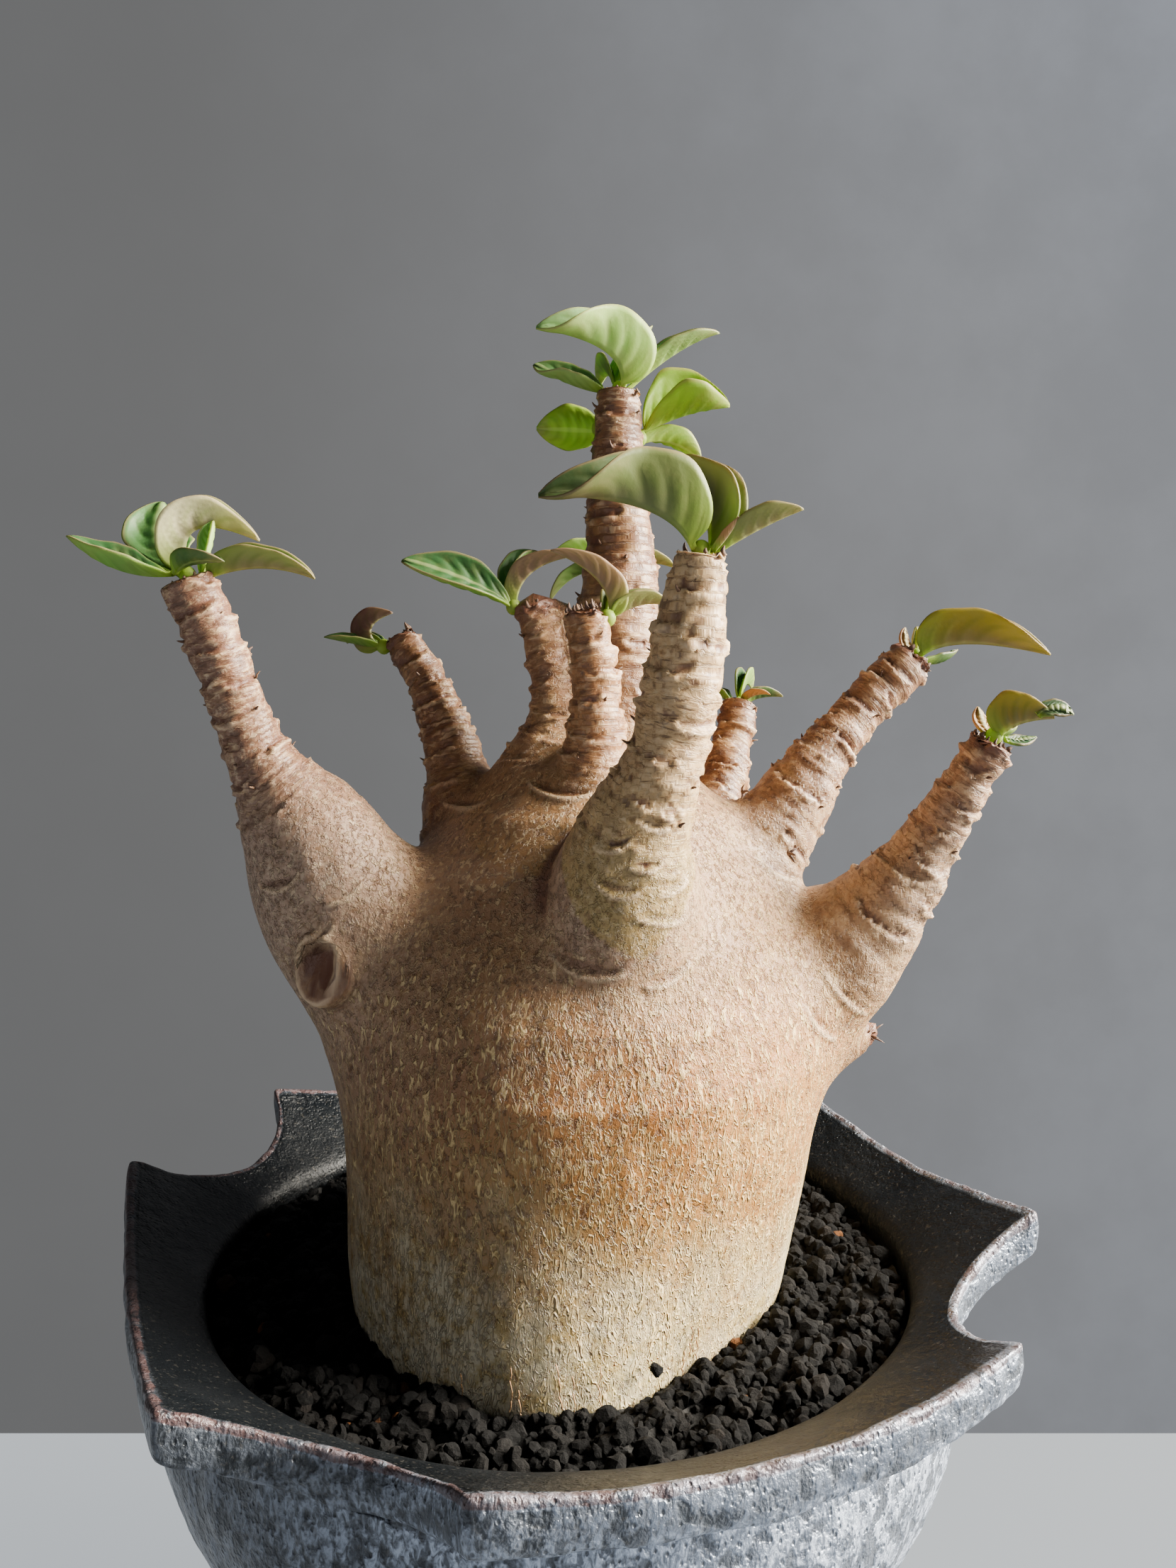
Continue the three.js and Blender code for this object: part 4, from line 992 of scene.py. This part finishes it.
def branch_relief(branch, points, along, radius, wobble):
    """Height and colour of the crescent ridges that old leaves left on a branch."""
    height = np.zeros(len(points))
    mark = np.zeros(len(points))
    for s, turn, half, drop in scar_places(branch):
        near = np.abs(along - s) < 2.5 + drop
        if not near.any():
            continue
        _, u, v = branch.frame(s)
        p = points[near] - branch.point(s)[:3]
        around = (np.arctan2(p @ v, p @ u) - turn + math.pi) % (2 * math.pi) - math.pi
        a = around * radius[near] / half
        inside = np.clip(1 - a * a, 0, 1)
        b = along[near] - s + drop * inside + 0.45 * wobble[near]
        strength = smoothstep(0, 0.35, inside)
        ridge = np.exp(-(b / 0.36) ** 2) * strength
        hollow = np.exp(-((b - 0.8) / 0.5) ** 2) * strength
        height[near] += RIDGE_HEIGHT * ridge - HOLLOW_DEPTH * hollow
        mark[near] += 0.7 * ridge - 0.75 * hollow
    rings = noise(np.c_[along / 0.95, points[:, :2] / 3.6], 1, 15)
    bulge = noise(np.c_[along / 2.4, points[:, :2] / 7], 1, 16)
    height += RING_HEIGHT * rings + BULGE_HEIGHT * bulge
    return height, np.clip(mark + 0.3 * rings, -1.2, 1.2)


def body_scar(points, place, half, drop, tilt):
    """A single lens-shaped scar with a thin pale lip on the swollen stem."""
    p = points - np.array(place)
    c, s = math.cos(math.radians(tilt)), math.sin(math.radians(tilt))
    a = (p[:, 0] * c + p[:, 2] * s) / half
    b = (-p[:, 0] * s + p[:, 2] * c)
    near = np.exp(-(np.maximum(np.abs(p[:, 1]) - 7, 0) / 2) ** 2)
    inside = np.clip(1 - a * a, 0, 1)
    low = b + drop * inside
    ridge = np.exp(-(low / 0.38) ** 2) * smoothstep(0, 0.3, inside) * near
    lens = smoothstep(0, 0.5, inside) * smoothstep(0.2, 0.6, low) * smoothstep(0.4, -0.2, b) * near
    return LIP_HEIGHT * ridge - LENS_DEPTH * lens, 1.1 * ridge - 0.6 * lens


def pruned_end(points):
    """The old cut on the left: a sunk dark oval inside a thin raised rim."""
    p = points - KNOB_AT
    deep = p @ KNOB_AXIS
    side = unit(np.cross(KNOB_AXIS, Z))
    across = p @ side
    up = p @ np.cross(side, KNOB_AXIS)
    ring = np.hypot(across / KNOB_R[0], up / KNOB_R[1]) + 0.07 * noise(points, 2.1, 19)
    near = smoothstep(-4.5, -2.5, deep)
    lip = np.exp(-((ring - 1) / 0.11) ** 2) * near
    sunk = smoothstep(0.95, 0.72, ring) * near
    dome = np.maximum(deep, -2) * sunk
    crack = noise(points, 1.3, 18)
    return (0.35 * lip - 0.15 * sunk - dome + 0.4 * crack * sunk,
            0.9 * lip - sunk * (1.0 + 1.7 * crack))


def crease_at(points, front):
    """The sharp fold on the left of the front branch's base."""
    seam = np.exp(-((front - 0.5) / 0.24) ** 2) * smoothstep(7, 2, points[:, 0])
    level = smoothstep(136, 141, points[:, 2]) * smoothstep(152, 147, points[:, 2])
    return seam * level * smoothstep(-10, -16, points[:, 1])


def make_caudex(material):
    """The swollen stem and its branches: the CAD's mesh, settled on the grown surface."""
    piece = add_object("swollen_stem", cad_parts["caudex"].data.copy())
    branches = {name: Branch(rows) for name, rows in BRANCHES.items()}
    for voxel in (COARSE_VOXEL, FINE_VOXEL):
        remesh(piece, voxel)
        settle(piece.data, branches, 2)
    mesh = piece.data
    points = get_points(mesh)
    _, _, shares = grown_surface(points, branches)
    shares = dict(zip(branches, shares))
    wobble = noise(points, 1.1, 11)
    height = 0.35 * noise(points, 11, 12) + 0.12 * noise(points * (1, 1, 0.5), 2.4, 13)
    mark = np.zeros(len(points))
    twig = np.zeros(len(points))
    run = np.zeros(len(points))
    for name, branch in branches.items():
        own = shares[name]
        _, _, along, radius = branch.locate(points)
        twig = np.maximum(twig, own * smoothstep(11, 6, radius))
        run = np.where(own > 0.5, along, run)
        if name not in SCARLESS:
            thin = own * smoothstep(11, 6.5, radius)
            ridges, tone = branch_relief(branch, points, along, radius, wobble)
            height += ridges * thin
            mark += tone * thin
        if name in CUT_TIPS:
            cut = smoothstep(branch.length - 2.2, branch.length - 0.2, along + 0.9 * wobble) * own
            height += cut * (0.8 * noise(points, 1.1, 17) - 0.3)
            mark -= 1.1 * cut
    crease = crease_at(points, shares["front"])
    height -= CREASE_DEPTH * crease
    # Painted shade: the fold is also darkened in colour, through the scar values.
    mark -= 1.3 * crease
    for relief, tone in [body_scar(points, *scar) for scar in BODY_SCARS] + [pruned_end(points)]:
        height += relief
        mark += tone
    set_points(mesh, points + get_normals(mesh) * height[:, None])
    tint = np.tile((0.4, 0.3, 0.2), (len(points), 1))
    tinted = np.zeros(len(points))
    rise = smoothstep(140, 160, points[:, 2])[:, None]
    for name, (low, high, strength) in BRANCH_TINTS.items():
        wide = shares[name] ** 0.4
        wide = wide / (wide + (1 - shares[name]) ** 0.4)
        tint = np.where(wide[:, None] > 0.02, lerp(np.array(low), np.array(high), rise), tint)
        tinted = np.maximum(tinted, wide * strength)
    # The scar values also carry the painted shade of the front branch's crease.
    values = {"branch": twig, "along": run, "scar": np.clip(mark, -1, 1), "tint": tint,
              "tinted": tinted}
    for name, value in values.items():
        set_values(mesh, name, value)
    mesh.polygons.foreach_set("use_smooth", np.full(len(mesh.polygons), True))
    mesh.materials.clear()
    mesh.materials.append(material)
    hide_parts("caudex")
    return piece, branches


# ---- Small dry parts ----


def spikes(name, rows, material):
    """Thin bent cones, each from (root, tip, radius, tone)."""
    turn = 2 * math.pi * np.arange(SPIKE_SIDES)[:, None] / SPIKE_SIDES
    cones = []
    for root, tip, radius, _ in rows:
        root, tip = np.array(root, float), np.array(tip, float)
        axis = unit(tip - root)
        u = unit(np.cross(axis, (0.31, 0.52, 0.79)))
        around = u * np.cos(turn) + np.cross(axis, u) * np.sin(turn)
        bend = 0.12 * np.linalg.norm(tip - root) * u
        rings = [lerp(root, tip, t) + bend * math.sin(math.pi * t)
                 + radius * (1 - 0.75 * t) * around for t in (0.0, 0.45, 0.8)]
        cones.append(closed_loft(rings, root - axis * 0.2, tip))
    piece = make_object(name, *joined(cones), material)
    set_values(piece.data, "tone", np.repeat([tone for *_, tone in rows], len(cones[0][0])))
    return piece


def make_stipules(branches, material, rng):
    """The dark tufts left at the ends of the leaf scars, and the ragged scales on cut tips."""
    rows = []
    for name, branch in branches.items():
        if name in SCARLESS:
            continue
        for s, turn, half, _ in scar_places(branch):
            x, y, z, radius = branch.point(s)
            if radius > 6.5 or rng.random() < 0.3:
                continue
            tangent, u, v = branch.frame(s)
            side = turn + rng.choice((-1, 1)) * half / radius * 0.9
            out = u * math.cos(side) + v * math.sin(side)
            root = np.array([x, y, z]) + out * (radius - 0.15)
            tip = root + out * rng.uniform(0.6, 1.3) + tangent * rng.uniform(0.2, 0.9)
            rows.append((root, tip, rng.uniform(0.17, 0.32), rng.uniform(0, 0.3)))
        *end, radius = branch.point(branch.length)
        tangent, u, v = branch.frame(branch.length)
        for _ in range(16 if name in CUT_TIPS else 7):
            side = rng.uniform(0, 2 * math.pi)
            out = u * math.cos(side) + v * math.sin(side)
            root = np.array(end) + out * radius * rng.uniform(0.55, 0.95) + tangent * 0.1
            tip = root + out * rng.uniform(-0.3, 0.5) + tangent * rng.uniform(0.5, 1.3)
            rows.append((root, tip, rng.uniform(0.25, 0.5), rng.uniform(0, 0.25)))
    for place, count in TUFTS:
        for _ in range(count):
            tip = np.array(place) + rng.normal(0, 1.0, 3) + (0.6, -0.4, 0.6)
            rows.append((place, tip, 0.28, rng.uniform(0, 0.3)))
    return spikes("old_stipules", rows, material)


def make_root_hairs(material, rng):
    """Thin orange hairs that lie on the stem's foot, down into the granules."""
    rows = []
    for _ in range(ROOT_HAIRS):
        turn = math.radians(rng.uniform(-120, -55))
        place = np.array([[STEM_LOW[0] + 45 * math.cos(turn), STEM_LOW[1] + 45 * math.sin(turn),
                           rng.uniform(80, 84)]])
        for _ in range(3):
            step = place - [0, 0, rng.uniform(1.2, 2.2)] + rng.normal(0, 0.35, 3)
            ends = []
            for end in (place, step):
                distance, direction = stem_distance(end)
                ends.append((end - direction * (distance[:, None] - 0.35))[0])
            rows.append((*ends, 0.11, 1.0))
            place = step
    return spikes("root_hairs", rows, material)


# ---- Soil ----


def crumb_shapes(rng, count=12):
    """Rough crumbs of about one unit's radius, and their faces."""
    bpy.ops.mesh.primitive_ico_sphere_add(subdivisions=2, radius=1)
    ball = bpy.context.object
    shape = get_points(ball.data) * MM
    corners = [tuple(p.vertices) for p in ball.data.polygons]
    bpy.data.objects.remove(ball)
    crumbs = []
    for k in range(count):
        rough = 1 + 0.30 * noise(shape, 0.95, 20 + k) + 0.26 * noise(shape, 0.42, 40 + k)
        crumbs.append(shape * rough[:, None] * rng.uniform(0.72, 1.15, 3))
    return crumbs, corners


def make_grains(material, rng):
    """Two layers of loose granules on the soil's CAD solid, close up to the stem and to the pot."""
    crumbs, corners = crumb_shapes(rng)
    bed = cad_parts["soil"].data
    tree = BVHTree.FromPolygons([v.co for v in bed.vertices],
                                [tuple(p.vertices) for p in bed.polygons])
    layers = []
    for name, count in GRAIN_COUNTS.items():
        low, high = (0.5, 1.5) if name == "granules_on_top" else (-0.2, 0.6)
        points, tones = [], []
        while len(points) < count:
            r = rng.uniform(*(GRAIN_R if rng.random() < 0.9 else BIG_GRAIN_R))
            out, turn = math.sqrt(rng.uniform(27 ** 2, 52.6 ** 2)), rng.uniform(0, 2 * math.pi)
            x, y = out * math.cos(turn), out * math.sin(turn)
            clear = stem_distance(np.array([[x, y, 77.5]]))[0][0]
            if clear < 0.5 * r or out > MOUTH_R - 0.3 - 0.8 * r:
                continue
            hit = tree.ray_cast(Vector((x, y, SOIL_TOP)) * MM, Vector((0, 0, -1)))[0]
            if hit is None:
                continue
            lift = rng.uniform(low, high) * r
            z = hit.z / MM + min(lift, 0.12 + 0.3 * clear)
            points.append(turned_crumb(crumbs, r, (x, y, z), rng))
            tones.append(np.full(len(crumbs[0]), rng.random()))
        if name == "granules_on_top":
            points.append(turned_crumb(crumbs, 0.95, STUCK_GRAIN, rng))
            tones.append(np.zeros(len(crumbs[0])))
        grains = joined([(crumb, corners) for crumb in points])
        layer = make_object(name, *grains, material, smooth=False)
        set_values(layer.data, "tone", np.concatenate(tones))
        layers.append(layer)
    return layers


def turned_crumb(crumbs, radius, place, rng):
    turned = np.linalg.qr(rng.normal(size=(3, 3)))[0]
    turned *= np.sign(np.linalg.det(turned))
    return crumbs[rng.integers(len(crumbs))] @ turned.T * radius + place


# ---- Leaves ----


def blade_width(t, half, opening):
    """Half width along a leaf: a short petiole, then a blade that is a claw or a spoon."""
    blade = np.clip((t - 0.06) / 0.94, 0, 1)
    fullest = 0.8 if opening < CLAW_OPENING else 1.15
    swell = np.sin(np.pi * blade ** fullest) ** 0.7
    return PETIOLE_HALF * (1 - t) + max(0, half - PETIOLE_HALF * 0.5) * swell


def turn_about(v, axis, angle):
    """v turned about a direction."""
    return (v * math.cos(angle) + np.cross(axis, v) * math.sin(angle)
            + axis * (v @ axis) * (1 - math.cos(angle)))


def make_leaf(seed, foot, middle, tip, half, roll, opening, tint, twist=0):
    """Points, faces, values and tint of one folded blade."""
    a, m, b = (np.array(p, float) for p in (foot, middle, tip))
    knee = 2 * m - 0.5 * a - 0.5 * b
    level = unit((b - a) * (1, 1, 0))
    across0 = np.cross(level, Z)
    rng = np.random.default_rng(seed)
    phase = rng.uniform(0, 6)
    q = np.linspace(0, 1, WING_STEPS)
    rings, values = [], []
    for t in np.linspace(0, 0.992, LEAF_STEPS):
        centre = (1 - t) ** 2 * a + 2 * t * (1 - t) * knee + t * t * b
        tangent = unit((1 - t) * (knee - a) + t * (b - knee))
        spread = float(smoothstep(0.55, 1, t))
        side = unit(across0 - tangent * (across0 @ tangent))
        side = turn_about(side, tangent, math.radians(roll + twist * spread))
        up = np.cross(side, tangent)
        width = max(0.22, float(blade_width(t, half, opening)))
        wave = 1 + 0.04 * math.sin(phase + 9 * t) + 0.02 * math.sin(3 * phase + 23 * t)
        fold = math.radians(opening * (0.75 + 0.5 * t) + 0.5 * abs(twist) * spread)
        mid = 0.5 * width * np.array([math.sin(fold * 1.35), math.cos(fold * 1.35)])
        end = width * wave * np.array([math.sin(fold), math.cos(fold)])
        bend = 2 * mid - 0.5 * end
        curve = 2 * q[:, None] * (1 - q[:, None]) * bend + q[:, None] ** 2 * end
        slope = unit(2 * (1 - 2 * q[:, None]) * bend + 2 * q[:, None] * end)
        inward = np.c_[-slope[:, 1], slope[:, 0]]
        quilt = np.cos(2 * np.pi * (VEINS * t - VEIN_SWEEP * q ** 2)) * np.sin(np.pi * q ** 0.8)
        quilt *= QUILT_HEIGHT * min(1, half / 4) * math.sin(math.pi * min(1, t * 1.1))
        outer = curve - inward * quilt[:, None]
        thick = min(LEAF_THICKNESS, width * 0.8) * (1 - 0.6 * q ** 1.5)
        inner = outer + inward * thick[:, None]
        inner[0] = (0, min(0.45 * width, thick[0] / max(0.3, math.sin(fold * 1.35))))
        inner[:, 0] = np.maximum(inner[:, 0], 0.0)
        right_out = [(x, z, k, 1) for (x, z), k in zip(outer, q)]
        right_in = [(x, z, k, 0) for (x, z), k in zip(inner, q)]
        left_out = [(-x, z, -k, 1) for x, z, k, _ in right_out[:0:-1]]
        left_in = [(-x, z, -k, 0) for x, z, k, _ in right_in[1:]]
        section = left_out + right_out + right_in[::-1] + left_in
        rings.append([centre + side * x + up * z for x, z, _, _ in section])
        values += [(k, t, face) for _, _, k, face in section]
    sectors = len(rings[0])
    points = np.array(rings).reshape(-1, 3)
    faces = [tuple(f) for f in loft_faces(len(rings), sectors)[:, ::-1]]
    faces.append(tuple(range(sectors)))
    faces.append(tuple(range(len(points) - 1, len(points) - 1 - sectors, -1)))
    return points, faces, np.array(values), tint


def make_bud(segments=14, rings=8):
    """Points and faces of the bud in the middle of a rosette."""
    turn = 2 * math.pi * np.arange(segments) / segments
    lifts = math.pi * np.arange(1, rings) / rings - math.pi / 2
    loops = [np.c_[math.cos(lift) * np.cos(turn), math.cos(lift) * np.sin(turn),
                   np.full(segments, math.sin(lift))] for lift in lifts]
    points, faces = closed_loft(loops, -Z, Z)
    return points * BUD_R + BUD_AT, faces


def make_rosette(row, index, material):
    """The leaves and the bud at one branch's tip, in place of that CAD node."""
    node, place, leaves = row
    blades = [make_leaf(31 * index + k, *leaf) for k, leaf in enumerate(leaves)]
    bud, quads = make_bud()
    blades.append((bud, quads, np.tile((0.5, 0.0, 1.0), (len(bud), 1)), BUD_TINT))
    points, faces = joined([blade[:2] for blade in blades])
    piece = make_object(node.replace("leaves", "rosette").replace("leaf", "blade"), points + place,
                        faces, material)
    for name, column in zip(("across", "along", "face"), np.vstack([b[2] for b in blades]).T):
        set_values(piece.data, name, column)
    for k, name in enumerate(("under", "upper")):
        colours = [np.tile(TINTS[tint][k], (len(values), 1)) for *_, values, tint in blades]
        set_values(piece.data, name, np.vstack(colours))
    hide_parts(node)
    return piece


# ---- Stage ----


def make_area_light(name, place, aim, size, power, colour):
    lamp = bpy.data.lights.new(name, "AREA")
    lamp.shape = "DISK"
    lamp.size = size
    lamp.energy = power
    lamp.color = colour
    light = add_object(name, lamp)
    light.location = place
    light.rotation_euler = (Vector(aim) - Vector(place)).to_track_quat("-Z", "Y").to_euler()


def make_stage():
    """The table top, the wall behind it, the lights and the sky."""
    sides = [(3, 2, 1, 0), (4, 5, 6, 7), (0, 1, 5, 4), (1, 2, 6, 5), (2, 3, 7, 6), (3, 0, 4, 7)]
    (left, near), (right, far) = FLOOR_CORNERS
    slab = [(x, y, z) for z in (-FLOOR_THICKNESS, 0)
            for x, y in ((left, near), (right, near), (right, far), (left, far))]
    wall = [(x * WALL_HALF, WALL_Y, z) for x, z in zip((-1, 1, 1, -1), np.repeat(WALL_HEIGHTS, 2))]
    make_object("floor", slab, sides, floor_material(), smooth=False)
    make_object("backdrop", wall, [(0, 1, 2, 3)], wall_material(), smooth=False)
    for row in LIGHTS:
        make_area_light(*row)
    world = bpy.data.worlds.new("studio")
    world.use_nodes = True
    sky = world.node_tree.nodes["Background"]
    sky.inputs["Color"].default_value = SKY_COLOUR
    sky.inputs["Strength"].default_value = SKY_STRENGTH
    bpy.context.scene.world = world


def make_camera():
    lens = bpy.data.cameras.new("photo_view")
    lens.lens = LENS
    lens.sensor_width = SENSOR_WIDTH
    lens.clip_start = 0.01
    camera = add_object("photo_view", lens)
    camera.location = Vector(CAMERA_AT) * MM
    camera.rotation_euler = (math.radians(CAMERA_TILT), 0, 0)
    bpy.context.scene.camera = camera


def paint_node(name, material):
    """Gives a CAD node that stays in view its procedural material."""
    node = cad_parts[name]
    for slot in node.material_slots:
        slot.material = material


# ---- The object ----

make_camera()
make_stage()
draws = np.random.default_rng(RANDOM_SEED)
stem, grown = make_caudex(bark_material())
leaf = leaf_material()
fibre = fibre_material()
made = [make_pot(glaze_material()), stem, *make_grains(grain_material(), draws),
        make_stipules(grown, fibre, draws), make_root_hairs(fibre, draws)]
made += [make_rosette(row, i, leaf) for i, row in enumerate(ROSETTES)]
paint_node("soil", bed_material())
paint_node("drain_mesh", net_material())
for piece in made:
    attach(piece, "root")
